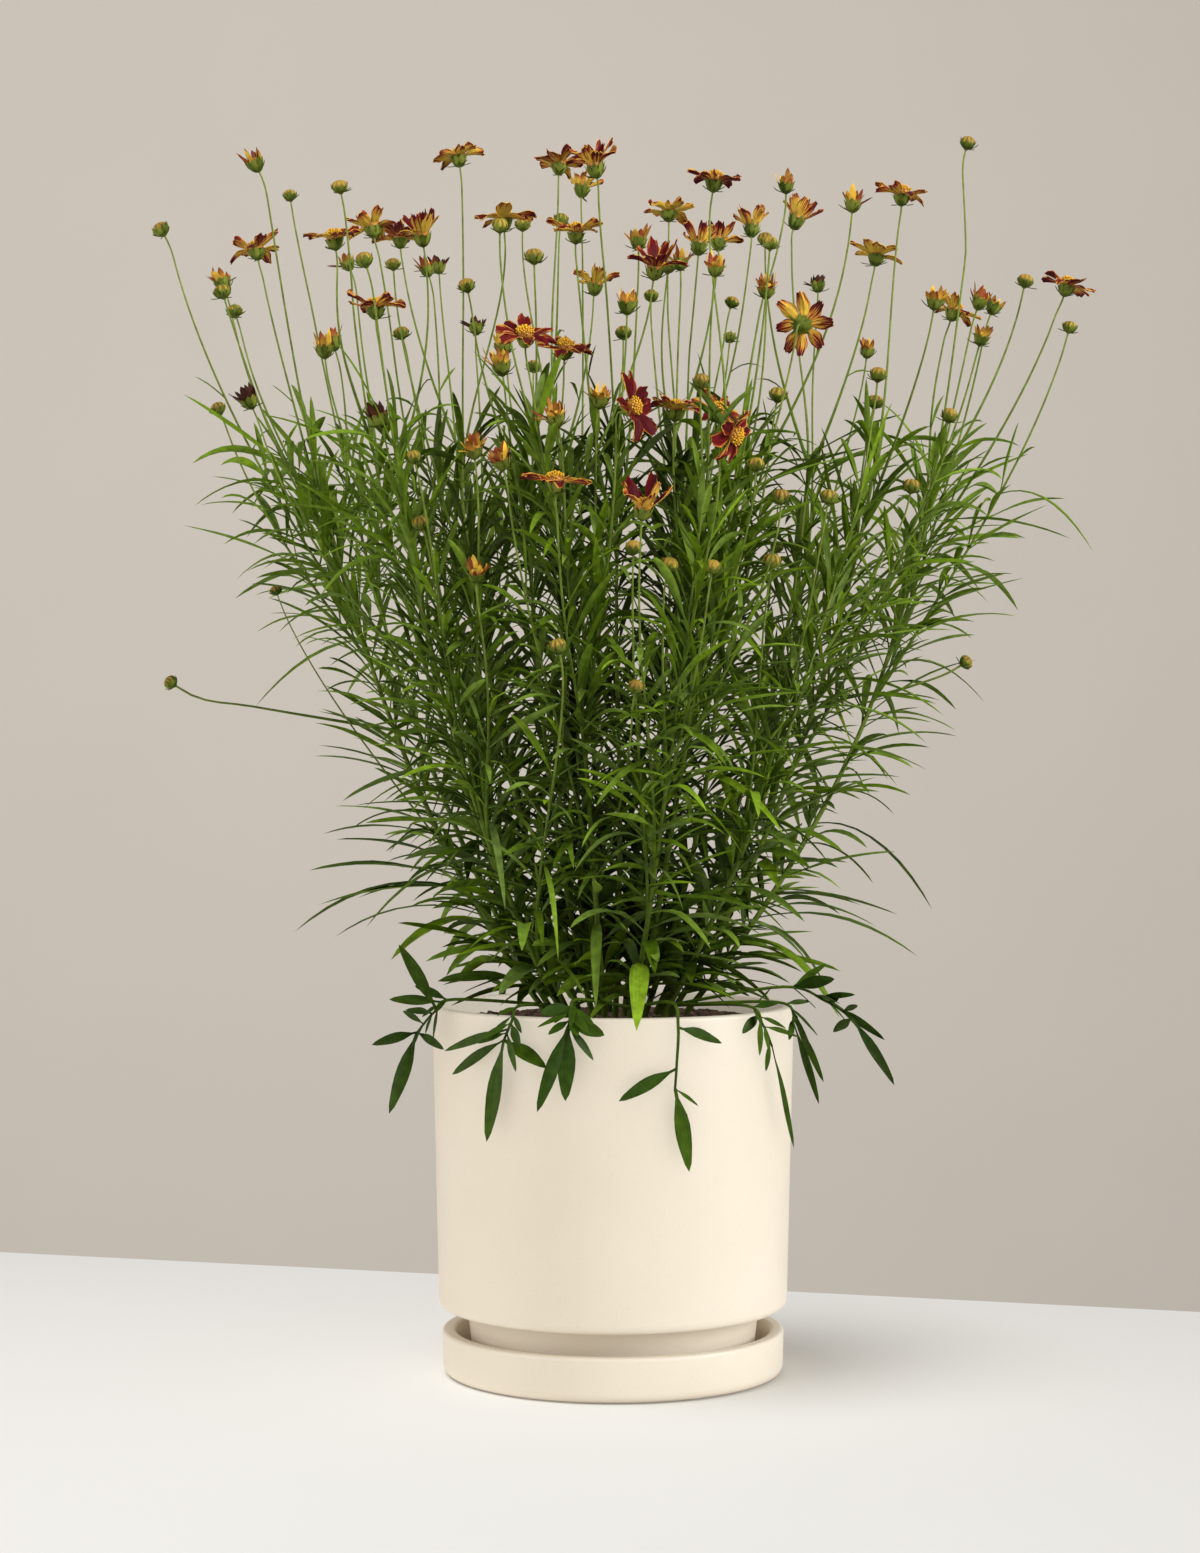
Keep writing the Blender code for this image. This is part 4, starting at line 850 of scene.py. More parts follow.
def grow_all(room):
    """The clump as the solids have it, then what is only in the picture, inside the solids' box."""
    stems, crowd = grow_clump()
    rng = random.Random(SEED + 1)
    small = []
    for kind, across, up, depth in HEADS:
        if kind == "small":
            head = Head(kind, seen_point(across, up, depth), random.Random(f"{kind}{across}{up}"))
            small.append(head)
    add_small_heads(stems, small, crowd, rng)
    for stem in stems:
        for head in stem.heads:
            if head.kind == "bloom" and abs(head.face.y) < 0.44:
                head.face = (head.face + UP * 0.55).normalized()
    add_between_leaves(stems, crowd, rng, room)
    add_branch_leaves(stems, crowd, rng, room)
    add_axil_tufts(stems, crowd, rng, room)
    return stems


# Skins: the points, faces and colours of one piece

class Skin:
    """One piece's mesh in the making. Each point has a colour, each face corner a place across and along."""

    def __init__(self):
        self.points = []
        self.colours = []
        self.faces = []
        self.slots = []
        self.places = []

    def ring(self, points, colour):
        first = len(self.points)
        self.points += points
        self.colours += colour if isinstance(colour, list) else [colour] * len(points)
        return list(range(first, len(self.points)))

    def face(self, corners, slot, places=None):
        self.faces.append(corners)
        self.slots.append(slot)
        self.places += places or [(0.0, 0.0)] * len(corners)

    def band(self, low, high, slot, along=(0.0, 1.0), closed=True):
        """Quads between two rings of the same count, or triangles to a single point."""
        count = len(low)
        last = count if closed else count - 1
        for i in range(last):
            j = (i + 1) % count
            u, v = i / last, (i + 1) / last
            if len(high) == 1:
                self.face((low[i], low[j], high[0]), slot, [(u, along[0]), (v, along[0]), (u, along[1])])
            else:
                self.face((low[i], low[j], high[j], high[i]), slot,
                          [(u, along[0]), (v, along[0]), (v, along[1]), (u, along[1])])

    def join(self, before, ring, slot, along=(0.0, 1.0)):
        """Joins a ring to the one before it, or closes the end if it is the first. Returns the ring."""
        if before:
            self.band(before, ring, slot, along)
        else:
            self.face(tuple(reversed(ring)), slot)
        return ring

    def tube(self, stations, sides, slot, colour_at):
        """A round shoot through (centre, direction, radius) stations, its ends closed."""
        side = stations[0][1].orthogonal().normalized()
        before = None
        count = len(stations)
        for number, (centre, direction, radius) in enumerate(stations):
            side = (side - direction * side.dot(direction)).normalized()
            other = direction.cross(side)
            share = number / (count - 1)
            ring = self.ring(ring_round(centre, side, other, radius, sides), colour_at(share))
            before = self.join(before, ring, slot, (share - 1 / (count - 1), share))
        self.face(tuple(before), slot)

    def item(self, name, materials):
        mesh = bpy.data.meshes.new(name)
        mesh.from_pydata([tuple(p) for p in self.points], [], self.faces)
        for material in materials:
            mesh.materials.append(material)
        mesh.polygons.foreach_set("material_index", self.slots)
        colour = mesh.color_attributes.new("tint", "FLOAT_COLOR", "POINT")
        colour.data.foreach_set("color", [c for rgb in self.colours for c in (*rgb, 1.0)])
        uv = mesh.uv_layers.new(name="form")
        uv.data.foreach_set("uv", [c for place in self.places for c in place])
        mesh.shade_smooth()
        mesh.set_sharp_from_angle(angle=math.radians(50))
        return linked(name, mesh)


def linked(name, data):
    item = bpy.data.objects.new(name, data)
    bpy.context.collection.objects.link(item)
    return item


def ring_round(centre, side, other, radius, sides):
    turns = [math.tau * i / sides for i in range(sides)]
    return [centre + (side * math.cos(t) + other * math.sin(t)) * radius for t in turns]


def blend_colour(a, b, share):
    return tuple(x + (y - x) * share for x, y in zip(a, b))


def soften(share):
    share = min(max(share, 0), 1)
    return share * share * (3 - 2 * share)


# Colours, as the surface has them in even light. The greyish green blended into some leaves is a painted
# sheen.
STEM_LOW = (0.100, 0.165, 0.015)
STEM_HIGH = (0.190, 0.250, 0.045)
LEAF_DARK = (0.013, 0.036, 0.001)
LEAF_LIGHT = (0.200, 0.325, 0.012)
# A painted sheen: a grey-green blended into some leaves in place of the greyish gloss on their upper faces.
LEAF_PAINTED_SHEEN = (0.175, 0.240, 0.080)
LEAF_GLOW = (2.0, 2.1, 0.45)  # how light that comes through a leaf differs from its own colour
BASAL_GREEN = (0.018, 0.045, 0.002)
BUD_GREEN = (0.115, 0.150, 0.016)
BUD_LIGHT = (0.230, 0.265, 0.040)
BUD_TOP = (0.500, 0.430, 0.050)
BUD_TIP = (0.360, 0.190, 0.040)
BUD_BROWN = (0.110, 0.045, 0.020)
BRACT_GREEN = (0.050, 0.085, 0.008)
DISC_GOLD = (0.86, 0.52, 0.015)
DISC_BROWN = (0.42, 0.17, 0.015)


def shoot_skin(skin, shoot, rng, sides, top_trim):
    """The round stalk of a shoot, up to where its head's neck begins."""
    top = shoot.end - min(top_trim, 0.3 * (shoot.end - shoot.start))
    count = max(8, round((top - shoot.start) / (9 * MM)))
    stations = []
    for i in range(count + 1):
        height = shoot.start + (top - shoot.start) * i / count
        direction = UP if height <= 0 else shoot.along(height)
        slender = 1.0 - 0.42 * i / count
        stations.append((shoot.at(height), direction, shoot.radius_at(height) * slender))
    tone = rng.uniform(-0.15, 0.15)

    def colour_at(share):
        return blend_colour(STEM_LOW, STEM_HIGH, min(1, max(0, share + tone)))

    skin.tube(stations, sides, 0, colour_at)
    return stations[-1]


def neck_skin(skin, last, head, depth):
    """The bend from the end of the shoot into the head's own direction."""
    centre, direction, radius = last
    end = head.point - head.face * depth
    bow = (end - centre).length * 0.4
    stations = []
    for i in range(6):
        t = i / 5
        a, b, c, d = centre, centre + direction * bow, end - head.face * bow, end
        point = a * (1 - t) ** 3 + b * 3 * (1 - t) ** 2 * t + c * 3 * (1 - t) * t * t + d * t ** 3
        stations.append((point, direction.lerp(head.face, t).normalized(), radius))
    skin.tube(stations, 6, 0, lambda share: STEM_HIGH)


BLADE_STATIONS = (0.0, 0.05, 0.12, 0.22, 0.34, 0.46, 0.58, 0.70, 0.81, 0.91)


def painted_clump_shade(point):
    """Painted shade: leaves are painted a darker green deep in the clump, towards its axis, where the clump
    shades them; the outer ones stay light.
    """
    spread = crown_spread(max(point.z - SOIL_TOP, 0))
    return 0.13 + 1.05 * soften(point.to_2d().length / spread - 0.08)


def leaf_skin(skin, leaf, rng, dark, light, fold=0.35, short=False, grey=0.5):
    """A blade with a folded midrib above and a keel below. Six points a section."""
    colour = blend_colour(dark, light, rng.random() ** 1.9)
    # Painted sheen: some leaves get the grey-green blended in, standing in for gloss on their upper faces;
    # grey sets how much.
    colour = blend_colour(colour, LEAF_PAINTED_SHEEN, grey * rng.random() ** 2)
    wave = rng.uniform(0, 6)
    twist = rng.uniform(-0.5, 0.5)
    stations = BLADE_STATIONS[::2] if short else BLADE_STATIONS
    before = None
    for number, share in enumerate(stations):
        _, side, face = leaf.frame(share)
        turn = twist * share
        side, face = (side * math.cos(turn) + face * math.sin(turn),
                      face * math.cos(turn) - side * math.sin(turn))
        half = max(leaf.half_width(share), 0.45 * MM)
        thick = 0.35 * MM * (1 - 0.6 * share)
        centre = leaf.at(share)
        rise = half * fold * (1 + 0.25 * math.sin(9 * share + wave))
        points = [
            centre - side * half + face * rise,
            centre - side * half * 0.45 + face * (rise * 0.30 + thick),
            centre + face * thick * 0.4,
            centre + side * half * 0.45 + face * (rise * 0.30 + thick),
            centre + side * half + face * rise,
            centre - face * thick * 1.3,
        ]
        # Painted shade, darker towards the clump's axis, scales each section's colour.
        shade = painted_clump_shade(centre)
        ring = skin.ring(points, tuple(c * shade for c in blend_colour(colour, light, 0.22 * share)))
        before = skin.join(before, ring, 0, (stations[number - 1], share))
    # The tip takes the same painted shade.
    shade = painted_clump_shade(leaf.at(1))
    tip = skin.ring([leaf.at(1)], tuple(c * shade for c in colour))
    skin.band(before, tip, 0, (stations[-1], 1.0))


def bract_skin(skin, head, turn, start, out, rise, length, width, colour, tip, sweep=0.6):
    """A small narrow bract at a head: it leaves at an angle and curves up along its length."""
    side, other = square_to(head.face)
    away = side * math.cos(turn) + other * math.sin(turn)
    across = head.face.cross(away)
    base = head.point + head.face * start + away * out
    before = None
    steps = 5
    for i in range(steps):
        share = i / steps
        angle = rise + sweep * share
        centre = base + (away * math.cos(rise + 0.5 * sweep * share)
                         + head.face * math.sin(rise + 0.5 * sweep * share)) * length * share
        face = head.face * math.cos(angle) - away * math.sin(angle)
        half = 0.5 * width * (0.75 + 0.5 * math.sin(math.pi * share)) * (1 - share * share * 0.55)
        thick = 0.28 * MM
        ring = skin.ring([centre - across * half, centre + face * thick, centre + across * half,
                          centre - face * thick], blend_colour(colour, tip, share))
        before = skin.join(before, ring, 0, (share - 1 / steps, share))
    end = base + (away * math.cos(rise + 0.5 * sweep) + head.face * math.sin(rise + 0.5 * sweep)) * length
    skin.band(before, skin.ring([end], tip), 0, (1 - 1 / steps, 1.0))


def lathe_skin(skin, head, profile, sides, ribs, rib_depth):
    """A ribbed round body on a head's own axis, from (height, radius, colour) rows. A pair of colours
    alternates from rib to groove; a single colour gets a darker copy in the grooves, which is painted shade.
    """
    side, other = square_to(head.face)
    before = None
    for height, radius, colour in profile:
        centre = head.point + head.face * height
        # Painted shade: a single colour gets a copy at 0.62 in the grooves between the ribs.
        pair = colour if isinstance(colour[0], tuple) else (colour, tuple(c * 0.62 for c in colour))
        points = []
        colours = []
        for i in range(sides):
            t = math.tau * i / sides
            r = radius * (1 + rib_depth * math.cos(ribs * t))
            points.append(centre + (side * math.cos(t) + other * math.sin(t)) * r)
            colours.append(blend_colour(pair[0], pair[1], 0.5 - 0.5 * math.cos(ribs * t)))
        ring = skin.ring(points, colours)
        before = skin.join(before, ring, 0)
    skin.face(tuple(before), 0)


def sepal_skin(skin, head, turn, rows):
    """A broad bract that hugs a bud or cup: (height, radius, half width, colour) rows, the last a point."""
    side, other = square_to(head.face)
    away = side * math.cos(turn) + other * math.sin(turn)
    across = head.face.cross(away)
    before = None
    for height, radius, half, colour in rows[:-1]:
        centre = head.point + head.face * height + away * radius
        drop = away * (half * half / max(radius, 1 * MM) * 0.5)
        ring = skin.ring([centre - across * half - drop, centre + away * 0.35 * MM,
                          centre + across * half - drop, centre - away * 0.3 * MM], colour)
        before = skin.join(before, ring, 0)
    height, radius, _, colour = rows[-1]
    skin.band(before, skin.ring([head.point + head.face * height + away * radius], colour), 0)


def ruff_skin(skin, head, rng, start, out, s):
    """The narrow outer bracts round a head's base, each its own way."""
    for i in range(8):
        turn = head.rng_turn + math.tau * (i + rng.uniform(-0.2, 0.2)) / 8
        rise = rng.uniform(-0.15, 0.95)
        bract_skin(skin, head, turn, start, out, rise, rng.uniform(4.5, 8.5) * s, 1.3 * s,
                   BRACT_GREEN, BUD_GREEN, sweep=rng.uniform(0.1, 0.8))


def bud_skin(skin, head, rng):
    """A closed bud: a bowl of broad bracts with pointed tips, and a flat yellow-green to brown top."""
    s = head.size * MM * (0.66 if head.kind == "small" else 0.98)
    warm = rng.random()
    top = (blend_colour(BUD_TOP, BUD_TIP, 0.6 * warm), blend_colour(BUD_TIP, BUD_BROWN, rng.random()))
    low = blend_colour(BRACT_GREEN, BUD_GREEN, rng.random())
    wide = rng.uniform(0.88, 1.05) * s
    profile = [
        (-1.0 * s, 0.9 * s, STEM_HIGH), (0.0 * s, 2.1 * wide, low), (1.4 * s, 3.7 * wide, low),
        (3.2 * s, 4.7 * wide, BUD_GREEN), (4.2 * s, 4.9 * wide, top), (6.4 * s, 4.3 * wide, top),
        (7.6 * s, 3.0 * wide, top), (8.2 * s, 1.0 * wide, top),
    ]
    lathe_skin(skin, head, profile, 32, 8, 0.07)
    flare = rng.uniform(-0.3, 0.9)
    for i in range(8):
        turn = head.rng_turn + math.tau * (i + rng.uniform(-0.12, 0.12)) / 8
        shade = blend_colour(low, BUD_LIGHT, rng.random())
        end = rng.uniform(4.8, 7.6) * s
        sepal_skin(skin, head, turn, [
            (0.2 * s, 2.3 * wide, 1.1 * s, low), (1.5 * s, 4.1 * wide, 1.6 * s, shade),
            (0.56 * end, 5.2 * wide, 1.6 * s, shade),
            (0.78 * end, (5.3 + 0.3 * flare) * wide, 0.9 * s, shade),
            (end, (5.1 + flare) * wide, 0, blend_colour(BUD_LIGHT, BUD_TIP, rng.random()))])
    ruff_skin(skin, head, rng, 0.2 * s, 2.0 * s, s * 0.85)


def green_cup(skin, head, rng, s, base, tall, over):
    """The ribbed green cup of an open or half-open head. Its bracts' tips end a little over its top."""
    low = blend_colour(BRACT_GREEN, BUD_GREEN, rng.random())
    top = base + tall
    profile = [
        (base, 0.95 * s, STEM_HIGH), (base + 0.8 * s, 1.9 * s, low), (base + 0.34 * tall, 3.1 * s, low),
        (base + 0.66 * tall, 4.2 * s, BUD_GREEN), (base + 0.92 * tall, 4.7 * s, BUD_GREEN),
        (top, 4.1 * s, BUD_GREEN),
    ]
    lathe_skin(skin, head, profile, 32, 8, 0.08)
    for i in range(8):
        turn = head.rng_turn + math.tau * (i + 0.5 + rng.uniform(-0.12, 0.12)) / 8
        shade = blend_colour(low, BUD_LIGHT, rng.random())
        sepal_skin(skin, head, turn, [
            (base + 0.6 * s, 1.9 * s, 1.0 * s, low), (base + 0.36 * tall, 3.7 * s, 1.6 * s, shade),
            (base + 0.72 * tall, 4.8 * s, 1.8 * s, shade), (top + 0.2 * over, 5.5 * s, 1.5 * s, shade),
            (top + over * rng.uniform(0.7, 1.1), rng.uniform(5.8, 7.6) * s, 0, BUD_LIGHT)])
    ruff_skin(skin, head, rng, base + 1.2 * s, 1.9 * s, s)


PETAL_GOLD = (0.80, 0.54, 0.060)
PETAL_WINE = (0.15, 0.010, 0.014)
PETAL_RUST = (0.34, 0.090, 0.025)
PETAL_DRY = (0.055, 0.020, 0.014)


def tuft_skin(skin, head, rng):
    """A flower that opens or fades: a green cup with a tight bunch of coloured petals."""
    s = head.size * MM
    green_cup(skin, head, rng, s * 0.98, -1.0 * s, 6.8 * s, 1.8 * s)
    mood = rng.random()
    dry = rng.random() < 0.08
    centre = PETAL_DRY if dry else PETAL_GOLD
    core = [(4.6 * s, 4.4 * s, BUD_TIP), (7.2 * s, 4.0 * s, (PETAL_RUST, centre)), (8.6 * s, 2.2 * s, centre)]
    lathe_skin(skin, head, core, 18, 6, 0.1)
    one_way = rng.uniform(0, math.tau)
    for i in range(13):
        turn = head.rng_turn + math.tau * i / 12 + rng.uniform(-0.2, 0.2)
        out = rng.uniform(2.2, 4.4) * s
        tall = rng.uniform(5.0, 9.0) * s * (1.25 + 0.25 * math.cos(turn - one_way))
        gold = rng.random() < 0.35 + 0.5 * mood
        low = blend_colour(PETAL_GOLD, PETAL_RUST, rng.random() * 0.5) if gold else PETAL_RUST
        high = blend_colour(PETAL_WINE, PETAL_RUST, rng.random()) if rng.random() < 0.75 else PETAL_GOLD
        if dry:
            low = blend_colour(PETAL_DRY, PETAL_RUST, rng.random() * 0.5)
            high = PETAL_DRY
        rise = rng.uniform(1.0, 1.5) if rng.random() < 0.85 else rng.uniform(0.3, 0.9)
        bract_skin(skin, head, turn, 4.4 * s, out, rise, tall, rng.uniform(2.6, 4.4) * s,
                   low, high, sweep=rng.uniform(-0.4, 0.4))


def cup_skin(skin, head, rng):
    """The green cup under a flower, with its ruff of narrow bracts."""
    over = (0.2 + 3.0 * math.tan(math.radians(petal_rise(head)))) * MM
    green_cup(skin, head, rng, MM, -6.6 * MM, 6.8 * MM, over)


def petal_rise(head):
    """The degrees that a flower's petals rise from flat: fewer than the solid's, which holds their folds."""
    return head.rise * (0.45 if head.kind == "bloom" else 0.85)


def head_skin(skin, head, last, rng):
    neck_skin(skin, last, head, 6.0 * MM if head.kind in ("bloom", "cup") else 0.5 * MM)
    if head.kind in ("bloom", "cup"):
        cup_skin(skin, head, rng)
    elif head.kind == "tuft":
        tuft_skin(skin, head, rng)
    else:
        bud_skin(skin, head, rng)


def side_lobes(basal, rng):
    """Small narrow lobes in pairs between a low leaf's main ones, kept off the pot."""
    found = []
    for share in (0.38, 0.55, 0.70, 0.86):
        root = basal.at(share)
        along = (basal.at(share + 0.01) - basal.at(share - 0.01)).normalized()
        out = Vector((root.x, root.y, 0)).normalized()
        for hand in (-1, 1):
            aside = out.cross(along).normalized() * hand
            length = rng.uniform(12, 26) * MM
            way = (along * rng.uniform(0.5, 0.9) + aside * rng.uniform(0.5, 0.9) + out * 0.25).normalized()
            lobe = leaf_to(root, root + way * length, rng.uniform(3.5, 6) * MM, 0.08, out + UP * 0.6)
            samples = beyond(lobe.samples(), root, 4 * MM)
            hangs = root.z < POT_RIM_HEIGHT - 12 * MM or (root.y < 0 and 0 < root.x < 75 * MM)
            if not hangs and not hits_pot(samples, 2 * MM):
                found.append(lobe)
    return found


def basal_skin(skin, basal, rng):
    count = 24
    stations = []
    for i in range(count + 1):
        t = i / count
        direction = (basal.at(t + 0.01) - basal.at(t - 0.01)).normalized()
        stations.append((basal.at(t), direction, (1.15 - 0.40 * t) * MM))
    skin.tube(stations, 6, 0, lambda share: blend_colour(STEM_LOW, BASAL_GREEN, share))
    for lobe in basal.lobes() + side_lobes(basal, rng):
        # The lobed leaves get little painted sheen.
        leaf_skin(skin, lobe, rng, BASAL_GREEN, blend_colour(BASAL_GREEN, LEAF_LIGHT, 0.14), 0.18, grey=0.05)


def build_stem(stem, material):
    """The fine piece that stands for a leafy stem's solid."""
    rng = random.Random(f"skin{stem.name}")
    skin = Skin()
    neck = 12 * MM
    last = shoot_skin(skin, stem.main, rng, 8, neck)
    head_skin(skin, stem.heads[0], last, rng)
    for shoot, head in stem.branches:
        last = shoot_skin(skin, shoot, rng, 6, neck)
        head_skin(skin, head, last, rng)
    for leaf in stem.leaves:
        # Painted shade: leaves that grow low in the clump, under the rest, start from a darker green; those
        # higher up start lighter.
        dark = blend_colour(LEAF_DARK, LEAF_LIGHT, soften((leaf.root.z - 0.30) / 0.3) * 0.6)
        leaf_skin(skin, leaf, rng, dark, LEAF_LIGHT, short=leaf.length < 45 * MM)
    for basal in stem.basal:
        basal_skin(skin, basal, rng)
    return skin.item(stem.name + "_fine", [material])


def petal_point(out, middle, u, v, shape):
    """A point of a petal: u across from -1 to 1, v along from 0 at the disc to 1 at the tip."""
    width = shape["half"] * (0.30 + 0.70 * soften(v * 1.7)) * (1 - 0.42 * max(0, v - 0.72) ** 1.2 * 2.2)
    teeth = abs(math.sin(1.5 * math.pi * (u + 1))) ** 0.8 - 0.55
    notch = shape["tooth"] * teeth * soften((v - 0.6) / 0.4)
    root = HUB_RADIUS * 0.6
    run = (shape["long"] - root) * v * (1 - 0.16 * u * u * u * u * soften((v - 0.5) / 0.5)) + notch
    rise = shape["rise"] + shape["arch"] * v
    lift = math.sin(rise) * run - shape["sag"] * v * v * v
    flat = root + math.cos(rise) * run
    fold = shape["cup"] * u * u * v * (1 - 0.25 * v)
    curl = shape["curl"] * u * v * v
    ripple = shape["ripple"] * math.sin(7.0 * u + 3.0 * v + shape["phase"]) * v
    narrow = 1 - min(0.35, shape["cup"] / shape["half"] * 0.45 * v)
    return out(middle + shape["swing"] * v, flat, u * width * narrow, lift + fold + curl + ripple)


def petal_shape(head, rng, radius):
    open_bloom = head.kind == "bloom"
    half = (5.7 if open_bloom else 4.8) * MM * head.size * rng.uniform(0.75, 1.05)
    lively = 1.0 if rng.random() < 0.7 else 2.0
    return {
        "long": radius * rng.uniform(0.90, 1.12), "half": half, "tooth": rng.uniform(0.9, 2.4) * MM,
        "rise": math.radians(petal_rise(head) + rng.uniform(-12, 12) * lively),
        "arch": math.radians(rng.uniform(-20, 12)), "sag": rng.uniform(0, 2.0) * MM,
        "cup": rng.uniform(1.2, 5.0) * MM, "curl": rng.uniform(-2.2, 2.2) * MM,
        "ripple": rng.uniform(0.2, 0.8) * MM, "phase": rng.uniform(0, 6), "swing": rng.uniform(-0.15, 0.15),
    }


def run_inside(start, way, room):
    """How far one can go from a point in a direction before leaving the solids' box."""
    reach = 1.0
    for i in range(3):
        if abs(way[i]) > 0.01:
            wall = room[1][i] if way[i] > 0 else room[0][i]
            reach = min(reach, (wall - start[i]) / way[i])
    return reach


PETAL_ROWS = 10
EDGE_PLACE = (0.35, 0.35)  # where on the petal's pattern its thin edge takes its colour


def petal_skin(skin, out, middle, face, shape, layer, tone):
    """One petal with its two faces and its edge."""
    rows = columns = PETAL_ROWS
    tops, unders = [], []
    for row in range(rows + 1):
        v = row / rows
        line = [petal_point(out, middle, 2 * c / columns - 1, v, shape) + face * layer
                for c in range(columns + 1)]
        tops.append(skin.ring([p + face * 0.2 * MM for p in line], tone))
        unders.append(skin.ring([p - face * 0.2 * MM for p in line], tone))
    for row in range(rows):
        v0, v1 = row / rows, (row + 1) / rows
        for c in range(columns):
            u0, u1 = c / columns, (c + 1) / columns
            a, b = tops[row], tops[row + 1]
            skin.face((a[c + 1], a[c], b[c], b[c + 1]), TOP_SLOT,
                      [(u1, v0), (u0, v0), (u0, v1), (u1, v1)])
            a, b = unders[row], unders[row + 1]
            skin.face((a[c], a[c + 1], b[c + 1], b[c]), UNDER_SLOT,
                      [(u0, v0), (u1, v0), (u1, v1), (u0, v1)])
    above = outline_of(tops)
    below = outline_of(unders)
    for i in range(len(above)):
        j = (i + 1) % len(above)
        skin.face((above[i], below[i], below[j], above[j]), UNDER_SLOT, [EDGE_PLACE] * 4)


def outline_of(grid):
    """The corners round the edge of a grid of points, in order."""
    left = [row[0] for row in grid]
    right = [row[-1] for row in reversed(grid[:-1])]
    return left + grid[-1][1:] + right + list(reversed(grid[0][1:-1]))


FLORETS = 46
TOP_SLOT, UNDER_SLOT, DISC_SLOT = 0, 1, 2  # a flower's materials: its petals' two faces and its disc


def build_bloom(number, head, materials, room):
    """The fine piece of an open flower: eight notched petals and a disc of florets."""
    rng = random.Random(f"bloom{number}")
    skin = Skin()
    face = head.face
    side, other = square_to(face)
    base = head.point + face * (CLEAR + 0.5 * MM)
    radius = BLOOM_RADIUS * head.size
    aged = rng.random()

    def out(angle, reach, across, lift):
        away = side * math.cos(angle) + other * math.sin(angle)
        beside = other * math.cos(angle) - side * math.sin(angle)
        return base + away * reach + beside * across + face * lift

    for petal in range(PETALS):
        middle = head.rng_turn + math.tau * (petal + rng.uniform(-0.16, 0.16)) / PETALS
        shape = petal_shape(head, rng, radius)
        away = side * math.cos(middle) + other * math.sin(middle)
        way = away * math.cos(shape["rise"]) + face * math.sin(shape["rise"])
        shape["long"] = min(shape["long"], run_inside(base, way, room) - 2 * MM)
        petal_skin(skin, out, middle, face, shape, (petal % 2) * 0.45 * MM, (rng.random(), aged, 0.0))
    hub_skin(skin, base, face, side, other, rng)
    return skin.item(f"bloom_{number:02d}_fine", materials)


def hub_skin(skin, base, face, side, other, rng):
    """The disc: a low dome, and florets in a spiral that stand out of it."""
    before = None
    for height, radius in ((-0.2, 4.6), (1.4, 4.9), (3.0, 4.4), (4.1, 2.9), (4.6, 1.1)):
        ring = skin.ring(ring_round(base + face * height * MM, side, other, radius * MM, 14), DISC_BROWN)
        before = skin.join(before, ring, DISC_SLOT)
    skin.face(tuple(before), DISC_SLOT)
    for i in range(FLORETS):
        share = math.sqrt((i + 0.5) / FLORETS)
        turn = i * GOLDEN_TURN
        out = side * math.cos(turn) + other * math.sin(turn)
        foot = base + out * share * 4.7 * MM + face * (4.3 - 2.4 * share * share) * MM
        lean = (face + out * share * 0.55).normalized()
        aside, beside = square_to(lean)
        tall = rng.uniform(1.3, 2.3) * MM
        gold = blend_colour(DISC_GOLD, DISC_BROWN, rng.random() * 0.5)
        low = skin.ring(ring_round(foot, aside, beside, 0.42 * MM, 5), DISC_BROWN)
        high = skin.ring(ring_round(foot + lean * tall, aside, beside, 0.52 * MM, 5), gold)
        skin.face(tuple(reversed(low)), DISC_SLOT)
        skin.band(low, high, DISC_SLOT)
        tip = skin.ring([foot + lean * (tall + 0.35 * MM)], gold)
        skin.band(high, tip, DISC_SLOT)


# Materials

def fresh(name, roughness):
    material = bpy.data.materials.new(name)
    material.use_nodes = True
    shader = material.node_tree.nodes["Principled BSDF"]
    shader.inputs["Roughness"].default_value = roughness
    return material, material.node_tree, shader


def node(tree, kind, **inputs):
    made = tree.nodes.new(kind)
    for name, value in inputs.items():
        made.inputs[name.replace("_", " ")].default_value = value
    return made


def noise(tree, scale, detail=3.0, rough=0.5):
    """Noise in the piece's own coordinates, in metres."""
    coordinate = tree.nodes.new("ShaderNodeTexCoord")
    made = node(tree, "ShaderNodeTexNoise", Scale=scale, Detail=detail, Roughness=rough)
    tree.links.new(coordinate.outputs["Object"], made.inputs["Vector"])
    return made.outputs["Fac"]


def ramp(tree, source, stops):
    made = tree.nodes.new("ShaderNodeValToRGB")
    tree.links.new(source, made.inputs["Fac"])
    line = made.color_ramp
    while len(line.elements) < len(stops):
        line.elements.new(0.5)
    for element, (place, colour) in zip(line.elements, stops):
        element.position = place
        element.color = (*colour, 1) if isinstance(colour, tuple) else (colour, colour, colour, 1)
    return made.outputs["Color"]


def mixed(tree, share, a, b, blend="MIX"):
    made = tree.nodes.new("ShaderNodeMix")
    made.data_type = "RGBA"
    made.blend_type = blend
    for socket, value in ((made.inputs[0], share), (made.inputs[6], a), (made.inputs[7], b)):
        if isinstance(value, bpy.types.NodeSocket):
            tree.links.new(value, socket)
        elif isinstance(value, tuple):
            socket.default_value = (*value, 1)
        else:
            socket.default_value = value
    return made.outputs[2]


def sums(tree, operation, a, b, clamp=False):
    made = tree.nodes.new("ShaderNodeMath")
    made.operation = operation
    made.use_clamp = clamp
    for socket, value in zip(made.inputs, (a, b)):
        if isinstance(value, bpy.types.NodeSocket):
            tree.links.new(value, socket)
        else:
            socket.default_value = value
    return made.outputs[0]


